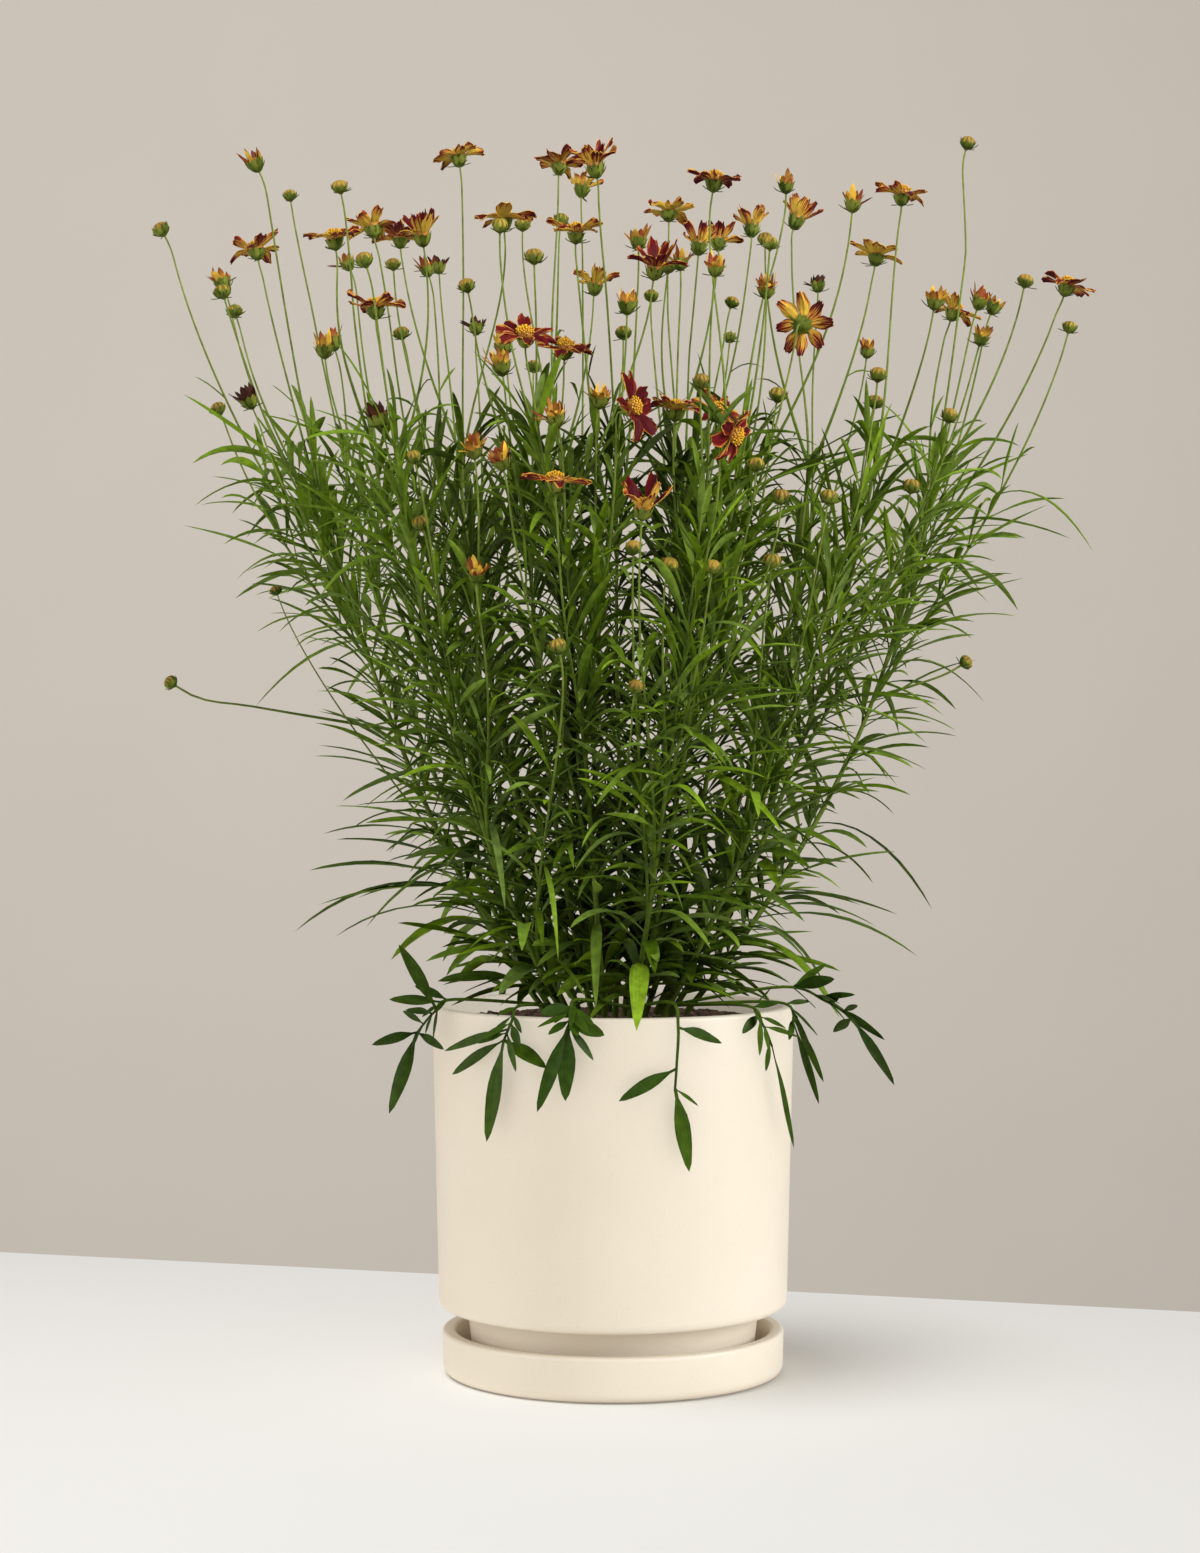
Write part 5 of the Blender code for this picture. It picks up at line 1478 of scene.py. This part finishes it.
def bumped(tree, shader, height, strength, distance):
    bump = node(tree, "ShaderNodeBump", Strength=strength, Distance=distance)
    tree.links.new(height, bump.inputs["Height"])
    tree.links.new(bump.outputs["Normal"], shader.inputs["Normal"])


def let_through(tree, shader, colour, share):
    """Lets a share of the light through a thin leaf or petal in a colour."""
    thin = tree.nodes.new("ShaderNodeBsdfTranslucent")
    tree.links.new(colour, thin.inputs["Color"])
    blend = tree.nodes.new("ShaderNodeMixShader")
    blend.inputs[0].default_value = share
    tree.links.new(shader.outputs["BSDF"], blend.inputs[1])
    tree.links.new(thin.outputs["BSDF"], blend.inputs[2])
    tree.links.new(blend.outputs["Shader"], tree.nodes["Material Output"].inputs["Surface"])


def tint(tree):
    made = tree.nodes.new("ShaderNodeAttribute")
    made.attribute_name = "tint"
    return made


def form(tree):
    made = tree.nodes.new("ShaderNodeUVMap")
    made.uv_map = "form"
    split = tree.nodes.new("ShaderNodeSeparateXYZ")
    tree.links.new(made.outputs["UV"], split.inputs["Vector"])
    return made.outputs["UV"], split.outputs["X"], split.outputs["Y"]


def foliage_material():
    """Leaf and stalk green: each leaf's own tone, finer mottling and faint lines along the blade."""
    material, tree, shader = fresh("foliage", 0.48)
    own = tint(tree).outputs["Color"]
    mottle = ramp(tree, noise(tree, 160, 4), [(0.30, 0.72), (0.70, 1.28)])
    base = mixed(tree, 1.0, own, mottle, "MULTIPLY")
    place, _, _ = form(tree)
    stretch = tree.nodes.new("ShaderNodeMapping")
    stretch.inputs["Scale"].default_value = (34, 0.6, 1)
    tree.links.new(place, stretch.inputs["Vector"])
    lines = node(tree, "ShaderNodeTexNoise", Scale=1.0, Detail=1.0)
    tree.links.new(stretch.outputs["Vector"], lines.inputs["Vector"])
    vein = ramp(tree, lines.outputs["Fac"], [(0.35, 0.86), (0.65, 1.10)])
    base = mixed(tree, 1.0, base, vein, "MULTIPLY")
    tree.links.new(base, shader.inputs["Base Color"])
    shader.inputs["Specular IOR Level"].default_value = 0.10
    let_through(tree, shader, mixed(tree, 1.0, base, LEAF_GLOW, "MULTIPLY"), 0.18)
    return material


def petal_material(name, stops, streak_scale, edge, tip, ragged):
    """A petal face: one colour near the disc that breaks up in streaks towards another at edge and tip."""
    material, tree, shader = fresh(name, 0.5)
    place, u, v = form(tree)
    own = tree.nodes.new("ShaderNodeSeparateColor")
    tree.links.new(tint(tree).outputs["Color"], own.inputs["Color"])
    one, age = own.outputs["Red"], own.outputs["Green"]
    shift = node(tree, "ShaderNodeCombineXYZ")
    tree.links.new(sums(tree, "MULTIPLY", one, 37.0), shift.inputs["Z"])
    stretch = tree.nodes.new("ShaderNodeMapping")
    stretch.inputs["Scale"].default_value = (streak_scale, 1.3, 1)
    tree.links.new(place, stretch.inputs["Vector"])
    tree.links.new(shift.outputs["Vector"], stretch.inputs["Location"])
    streaks = node(tree, "ShaderNodeTexNoise", Scale=1.0, Detail=3.0, Roughness=0.6)
    tree.links.new(stretch.outputs["Vector"], streaks.inputs["Vector"])
    aside = sums(tree, "ABSOLUTE", sums(tree, "SUBTRACT", u, 0.5), 0.0)
    aside = sums(tree, "POWER", sums(tree, "MULTIPLY", aside, 2.0), 2.6)
    along = sums(tree, "POWER", v, 2.2)
    reach = sums(tree, "ADD", sums(tree, "MULTIPLY", aside, edge), sums(tree, "MULTIPLY", along, tip))
    jitter = sums(tree, "MULTIPLY", sums(tree, "SUBTRACT", streaks.outputs["Fac"], 0.5), ragged)
    level = sums(tree, "ADD", reach, jitter)
    level = sums(tree, "ADD", level, sums(tree, "MULTIPLY", sums(tree, "SUBTRACT", age, 0.45), 0.35))
    level = sums(tree, "ADD", level, sums(tree, "MULTIPLY", sums(tree, "SUBTRACT", one, 0.5), 0.40))
    colour = ramp(tree, level, stops)
    mottle = ramp(tree, noise(tree, 420, 2), [(0.3, 0.85), (0.7, 1.12)])
    colour = mixed(tree, 1.0, colour, mottle, "MULTIPLY")
    tree.links.new(colour, shader.inputs["Base Color"])
    shader.inputs["Sheen Weight"].default_value = 0.04
    shader.inputs["Specular IOR Level"].default_value = 0.12
    bumped(tree, shader, streaks.outputs["Fac"], 0.35, 0.0004)
    let_through(tree, shader, colour, 0.36)
    return material


def disc_material():
    material, tree, shader = fresh("disc_florets", 0.6)
    own = tint(tree).outputs["Color"]
    mottle = ramp(tree, noise(tree, 900, 2), [(0.3, 0.75), (0.7, 1.2)])
    tree.links.new(mixed(tree, 1.0, own, mottle, "MULTIPLY"), shader.inputs["Base Color"])
    return material


def glaze_material():
    """Cream satin glaze: barely uneven in tone, with a soft gloss."""
    material, tree, shader = fresh("cream_glaze", 0.42)
    cloud = ramp(tree, noise(tree, 9, 3), [(0.35, GLAZE_LOW), (0.65, GLAZE_HIGH)])
    speck = ramp(tree, noise(tree, 900, 1), [(0.25, 0.94), (0.40, 1.0)])
    tree.links.new(mixed(tree, 1.0, cloud, speck, "MULTIPLY"), shader.inputs["Base Color"])
    gloss = ramp(tree, noise(tree, 40, 2), [(0.3, 0.36), (0.7, 0.48)])
    tree.links.new(gloss, shader.inputs["Roughness"])
    shader.inputs["Specular IOR Level"].default_value = 0.45
    bumped(tree, shader, noise(tree, 220, 2), 0.05, 0.0005)
    return material


def soil_material():
    material, tree, shader = fresh("bark_compost", 0.95)
    own = tint(tree).outputs["Color"]
    mottle = ramp(tree, noise(tree, 260, 5, 0.7), [(0.30, 0.45), (0.72, 1.5)])
    tree.links.new(mixed(tree, 1.0, own, mottle, "MULTIPLY"), shader.inputs["Base Color"])
    bumped(tree, shader, noise(tree, 420, 5, 0.7), 0.8, 0.0012)
    return material


GLAZE_LOW = (0.810, 0.715, 0.575)
GLAZE_HIGH = (0.835, 0.745, 0.610)
SOIL_DARK = (0.022, 0.012, 0.007)
SOIL_WARM = (0.120, 0.060, 0.032)
SOIL_SLOPE = 42 * MM  # how far in from the pot's wall the soil reaches its full height
SOIL_RISE = SOIL_CROWN_RISE - 0.6 * MM  # a little less than the solid's, to leave room for the chips
SOIL_SIDES = 120
SOIL_RINGS = 26
CHIP_COUNT = 900


# Pot, saucer and soil

TURNED_SIDES = 128


def rounded(corner_in, corner, corner_out, radius, steps=6):
    """Points of a round at a corner between two neighbours of a profile."""
    start = corner + (corner_in - corner).normalized() * radius
    end = corner + (corner_out - corner).normalized() * radius
    points = []
    for i in range(steps + 1):
        share = i / steps
        points.append(start * (1 - share) ** 2 + corner * 2 * share * (1 - share) + end * share ** 2)
    return points


def softened(profile, closed):
    """A profile of (radius, height, round) with its rounds drawn in."""
    points = []
    count = len(profile)
    for i, (r, z, radius) in enumerate(profile):
        corner = Vector((r, z))
        if radius == 0 or (not closed and i in (0, count - 1)):
            points.append(corner)
            continue
        before = Vector(profile[i - 1][:2])
        after = Vector(profile[(i + 1) % count][:2])
        points += rounded(before, corner, after, radius)
    return [(p.x, p.y) for p in points]


def pot_radius(z):
    """The outer radius of the pot's body at a height."""
    share = (z - POT_BODY_BOTTOM) / (POT_RIM_HEIGHT - POT_BODY_BOTTOM)
    return POT_BASE_RADIUS + (POT_RIM_RADIUS - POT_BASE_RADIUS) * share


POT_FOOT_BOTTOM = SAUCER_FLOOR + CLEAR
POT_FLOOR_BOTTOM = POT_FOOT_BOTTOM + FOOT_RECESS
POT_FLOOR_TOP = POT_FLOOR_BOTTOM + POT_FLOOR_THICKNESS
POT_STEP_HEIGHT = POT_BODY_BOTTOM + POT_WALL
FOOT_INNER_RADIUS = FOOT_BASE_RADIUS - POT_WALL


def turned(name, profile, material, closed):
    """A fine body of revolution from (radius, height) points."""
    bm = bmesh.new()
    rings = []
    for r, z in profile:
        if r == 0:
            rings.append([bm.verts.new((0, 0, z))])
            continue
        turns = [math.tau * i / TURNED_SIDES for i in range(TURNED_SIDES)]
        rings.append([bm.verts.new((r * math.cos(t), r * math.sin(t), z)) for t in turns])
    pairs = list(zip(rings, rings[1:]))
    if closed:
        pairs.append((rings[-1], rings[0]))
    for low, high in pairs:
        for i in range(TURNED_SIDES):
            j = (i + 1) % TURNED_SIDES
            corners = [low[i % len(low)], low[j % len(low)], high[j % len(high)], high[i % len(high)]]
            bm.faces.new(list(dict.fromkeys(corners)))
    bmesh.ops.recalc_face_normals(bm, faces=bm.faces)
    mesh = bpy.data.meshes.new(name)
    bm.to_mesh(mesh)
    bm.free()
    mesh.materials.append(material)
    mesh.shade_smooth()
    mesh.set_sharp_from_angle(angle=math.radians(32))
    return linked(name, mesh)


def build_pot(material):
    step_radius = pot_radius(POT_STEP_HEIGHT) - POT_WALL
    profile = [
        (DRAIN_RADIUS, POT_FLOOR_BOTTOM, 1 * MM),
        (FOOT_BASE_RADIUS - FOOT_RING_WIDTH, POT_FLOOR_BOTTOM, 1 * MM),
        (FOOT_BASE_RADIUS - FOOT_RING_WIDTH, POT_FOOT_BOTTOM, 1 * MM),
        (FOOT_BASE_RADIUS, POT_FOOT_BOTTOM, 1.5 * MM),
        (FOOT_TOP_RADIUS, POT_BODY_BOTTOM, 2 * MM),
        (POT_BASE_RADIUS, POT_BODY_BOTTOM, POT_EDGE_ROUND),
        (POT_RIM_RADIUS, POT_RIM_HEIGHT, LIP_ROUND),
        (POT_RIM_RADIUS - POT_WALL, POT_RIM_HEIGHT, LIP_ROUND),
        (step_radius, POT_STEP_HEIGHT, 0),
        (FOOT_INNER_RADIUS, POT_STEP_HEIGHT - 4 * MM, 0),
        (FOOT_INNER_RADIUS - 1 * MM, POT_FLOOR_TOP, 0),
        (DRAIN_RADIUS, POT_FLOOR_TOP, 1 * MM),
    ]
    return turned("pot_fine", softened(profile, True), material, True)


def build_saucer(material):
    inner = SAUCER_RADIUS - SAUCER_WALL
    profile = [
        (0, 0, 0),
        (SAUCER_RADIUS - 0.6 * MM, 0, SAUCER_EDGE_ROUND),
        (SAUCER_RADIUS, SAUCER_HEIGHT, LIP_ROUND),
        (inner, SAUCER_HEIGHT, LIP_ROUND),
        (inner - 2 * MM, SAUCER_FLOOR, 3 * MM),
        (0, SAUCER_FLOOR, 0),
    ]
    return turned("saucer_fine", softened(profile, False), material, False)


def build_soil(material):
    """Rough compost: an uneven top that meets the pot's wall, under a litter of bark chips."""
    rng = random.Random(SEED + 2)
    skin = Skin()
    edge = pot_radius(SOIL_EDGE_HEIGHT) - POT_WALL - CLEAR
    step = pot_radius(POT_STEP_HEIGHT) - POT_WALL - CLEAR
    rows = [
        (FOOT_INNER_RADIUS - 1.5 * MM, POT_FLOOR_TOP + CLEAR),
        (FOOT_INNER_RADIUS - CLEAR, POT_STEP_HEIGHT - 3.5 * MM),
        (step, POT_STEP_HEIGHT + 1.2 * CLEAR),
        (edge, SOIL_EDGE_HEIGHT - 3 * MM),
    ]
    rows += [(edge * (1 - i / SOIL_RINGS), None) for i in range(1, SOIL_RINGS)]
    before = None
    for radius, z in rows:
        points = []
        for i in range(SOIL_SIDES):
            t = math.tau * i / SOIL_SIDES
            x, y = radius * math.cos(t), radius * math.sin(t)
            if z is None:
                share = soften((edge - radius) / SOIL_SLOPE)
                crumb = noise_vector.noise(Vector((x, y, 3)) * 240) * 1.1
                lump = noise_vector.noise(Vector((x, y, 0)) * 70) * 1.5 + crumb
                height = SOIL_EDGE_HEIGHT - 2.2 * MM + SOIL_RISE * share + lump * MM
            else:
                height = z
            points.append(Vector((x, y, height)))
        ring = skin.ring(points, blend_colour(SOIL_DARK, SOIL_WARM, 0.35))
        before = skin.join(before, ring, 0)
    skin.face(tuple(before), 0)
    for _ in range(CHIP_COUNT):
        chip_skin(skin, rng, edge)
    return skin.item("soil_fine", [material])


def chip_skin(skin, rng, edge):
    """One splinter or crumb of bark, lying at any angle."""
    radius = (edge - 4 * MM) * math.sqrt(rng.random())
    t = rng.uniform(0, math.tau)
    share = soften((edge - radius) / SOIL_SLOPE)
    height = SOIL_EDGE_HEIGHT - 1.6 * MM + SOIL_RISE * share
    centre = Vector((radius * math.cos(t), radius * math.sin(t), height))
    long = rng.uniform(1.6, 5.5) * MM * (0.6 + 0.6 * rng.random())
    wide = long * rng.uniform(0.35, 0.9)
    tall = rng.uniform(0.7, 1.6) * MM
    turn = rng.uniform(0, math.tau)
    tilt = rng.uniform(-0.4, 0.4)
    ahead = Vector((math.cos(turn) * math.cos(tilt), math.sin(turn) * math.cos(tilt), math.sin(tilt)))
    aside = ahead.cross(UP).normalized()
    above = aside.cross(ahead)
    colour = blend_colour(SOIL_DARK, SOIL_WARM, rng.random() ** 1.4 * 1.3)
    rings = []
    for along, size in ((-1.0, 0.45), (-0.3, 1.0), (0.45, 0.9), (1.0, 0.35)):
        ring = []
        for a, b in ((-1, -1), (1, -1), (1, 1), (-1, 1)):
            jog = rng.uniform(0.7, 1.15) * size
            ring.append(centre + ahead * long * along + aside * (a * wide * 0.5 * jog)
                        + above * (b * tall * jog))
        rings.append(skin.ring(ring, colour))
    skin.face(tuple(reversed(rings[0])), 0)
    for low, high in zip(rings, rings[1:]):
        skin.band(low, high, 0)
    skin.face(tuple(rings[-1]), 0)


# The studio: a pale table with its far edge, a warm grey backdrop, soft lights and the camera

CAMERA_LEFT = -8.3 * MM
FOCAL_PIXELS = 2982  # the focal length, in pixels of a frame that is FRAME_PIXELS high
FRAME_PIXELS = 1553
EDGE_LEFT = Vector((-485, 470, 0)) * MM  # two points of the table's far edge, which runs at a slant
EDGE_RIGHT = Vector((415, 205, 0)) * MM
TABLE_RUN = 6.0  # how far the table's far edge goes on past each side of the view, in metres
TABLE_REACH = 8.0  # how far the table comes forward
TABLE_DROP = 1.5
WALL_DISTANCE = 5.0
WALL_CORNERS = ((-12, -4), (12, -4), (12, 8), (-12, 8))
WORLD_COLOUR = (1.0, 0.99, 0.97, 1)
WORLD_STRENGTH = 0.38

# Lamps: where each stands, what it looks at, its two sides in metres, its watts and its colour
LAMPS = {
    "key": ((1.5, -1.5, 1.8), (0, 0, 0.3), (1.1, 1.1), 78, (1.0, 0.99, 0.97)),
    "fill": ((-2.1, -0.6, 0.9), (0, 0, 0.2), (1.2, 1.6), 28, (1.0, 1.0, 1.0)),
    "pot_key": ((2.3, -1.1, 1.0), (0, 0, 0.1), (1.2, 1.2), 53, (0.94, 0.97, 1.0)),
    "pot_fill": ((-2.1, -1.0, 0.8), (0, 0, 0.1), (1.2, 1.2), 23, (1.0, 1.0, 1.0)),
    "pot_top": ((0.3, -1.2, 2.2), (0, 0, 0.2), (1.2, 1.2), 8, (1.0, 0.98, 0.95)),
    "table_light": ((-0.6, -0.4, 1.9), (0, -0.1, 0), (1.3, 1.3), 26, (1.0, 1.0, 1.0)),
    "table_fill": ((0.9, -1.0, 1.9), (0, -0.1, 0), (1.3, 1.3), 9, (1.0, 1.0, 1.0)),
    "wall_light": ((-0.8, -0.8, 1.3), (-0.2, WALL_DISTANCE, 0.9), (5.0, 5.0), 270, (1.0, 0.995, 0.99)),
}


def plain(name, colour, roughness):
    material, tree, shader = fresh(name, roughness)
    shade = ramp(tree, noise(tree, 3, 2), [(0.3, tuple(c * 0.985 for c in colour)), (0.7, colour)])
    tree.links.new(shade, shader.inputs["Base Color"])
    shader.inputs["Specular IOR Level"].default_value = 0.2
    return material


def flat(name, corners, material):
    mesh = bpy.data.meshes.new(name)
    mesh.from_pydata([tuple(c) for c in corners], [], [tuple(range(len(corners)))])
    mesh.materials.append(material)
    item = linked(name, mesh)
    item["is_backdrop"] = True
    return item


def area_light(name, place, aim, size, power, colour):
    data = bpy.data.lights.new(name, "AREA")
    data.shape = "RECTANGLE"
    data.size, data.size_y = size
    data.energy = power
    data.color = colour
    lamp = linked(name, data)
    lamp.location = place
    lamp.visible_camera = False
    lamp.rotation_euler = (Vector(aim) - Vector(place)).to_track_quat("-Z", "Y").to_euler()
    return lamp


def group_of(name, items, state):
    group = bpy.data.collections.new(name)
    for item in items:
        group.objects.link(item)
    for member in group.collection_objects:
        member.light_linking.link_state = state
    return group


def only(lamp, items, state="INCLUDE"):
    """Makes a light reach nothing but the items, or everything but them."""
    lamp.light_linking.receiver_collection = group_of(lamp.name + "_reach", items, state)


def shaded_by(lamp, items):
    """Makes a light's shadows come from the items alone."""
    lamp.light_linking.blocker_collection = group_of(lamp.name + "_shade", items, "INCLUDE")


def build_studio(pot, saucer, soil):
    run = (EDGE_RIGHT - EDGE_LEFT).normalized()
    left = EDGE_LEFT - run * TABLE_RUN
    right = EDGE_RIGHT + run * TABLE_RUN
    ahead = Vector((0, -TABLE_REACH, 0))
    top = plain("pale_table", (0.83, 0.82, 0.80), 0.7)
    table = flat("table_top", [left, left + ahead, right + ahead, right], top)
    drop = Vector((0, 0, -TABLE_DROP))
    flat("table_edge", [left, right, right + drop, left + drop], plain("table_side", (0.6, 0.57, 0.52), 0.7))
    corners = [Vector((x, WALL_DISTANCE, z)) for x, z in WALL_CORNERS]
    wall = flat("backdrop", corners, plain("warm_grey", (0.60, 0.55, 0.49), 0.9))
    world = bpy.data.worlds.new("studio")
    bpy.context.scene.world = world
    world.use_nodes = True
    world.node_tree.nodes["Background"].inputs["Color"].default_value = WORLD_COLOUR
    world.node_tree.nodes["Background"].inputs["Strength"].default_value = WORLD_STRENGTH
    lamps = {name: area_light(name, *row) for name, row in LAMPS.items()}
    ware = [pot, saucer, soil]
    for name in ("key", "fill"):
        only(lamps[name], [table, wall] + ware, "EXCLUDE")
    for name in ("pot_key", "pot_fill", "pot_top"):
        only(lamps[name], ware)
        shaded_by(lamps[name], [pot, saucer])
    for name, reached, blockers in (("table_light", table, [pot, saucer]), ("table_fill", table, [table]),
                                    ("wall_light", wall, [wall])):
        only(lamps[name], [reached])
        shaded_by(lamps[name], blockers)
    data = bpy.data.cameras.new("camera")
    data.sensor_fit = "VERTICAL"
    data.sensor_height = 36
    data.lens = 36 * FOCAL_PIXELS / FRAME_PIXELS
    data.clip_start = 0.05
    data.clip_end = 50
    camera = linked("camera", data)
    camera.location = (CAMERA_LEFT, -EYE_DISTANCE, EYE_HEIGHT)
    camera.rotation_euler = (math.pi / 2, 0, 0)
    bpy.context.scene.camera = camera
    bpy.context.scene.view_settings.view_transform = "Standard"
    bpy.context.scene.view_settings.look = "None"


# A petal's colours from the disc outwards, on its upper and its lower face
PETAL_TOP_STOPS = [(0.0, (0.080, 0.002, 0.005)), (0.52, (0.21, 0.007, 0.010)),
                   (0.74, (0.60, 0.18, 0.03)), (0.90, (0.86, 0.56, 0.10))]
PETAL_UNDER_STOPS = [(0.0, (0.98, 0.66, 0.08)), (0.20, (0.90, 0.40, 0.06)),
                     (0.34, (0.42, 0.07, 0.025)), (0.52, (0.11, 0.007, 0.010))]


def main():
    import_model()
    cad_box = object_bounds()
    foliage = foliage_material()
    upper = petal_material("petal_top", PETAL_TOP_STOPS, 9, 0.62, 0.30, 1.6)
    under = petal_material("petal_under", PETAL_UNDER_STOPS, 13, 0.12, 0.62, 2.2)
    disc = disc_material()
    glaze = glaze_material()
    pot = build_pot(glaze)
    saucer = build_saucer(glaze)
    soil = build_soil(soil_material())
    placed = [(pot, "pot", "glaze"), (saucer, "saucer", "glaze"), (soil, "soil", "soil")]
    number = 0
    for stem in grow_all(cad_box):
        placed.append((build_stem(stem, foliage), stem.name, "foliage"))
        for head in stem.heads:
            if head.kind in ("bloom", "cup"):
                number += 1
                flower = build_bloom(number, head, [upper, under, disc], cad_box)
                placed.append((flower, f"bloom_{number:02d}", "petals"))
    for piece, replaced, slot in placed:
        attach(piece, "root")
        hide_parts(replaced)
    build_studio(pot, saucer, soil)


main()
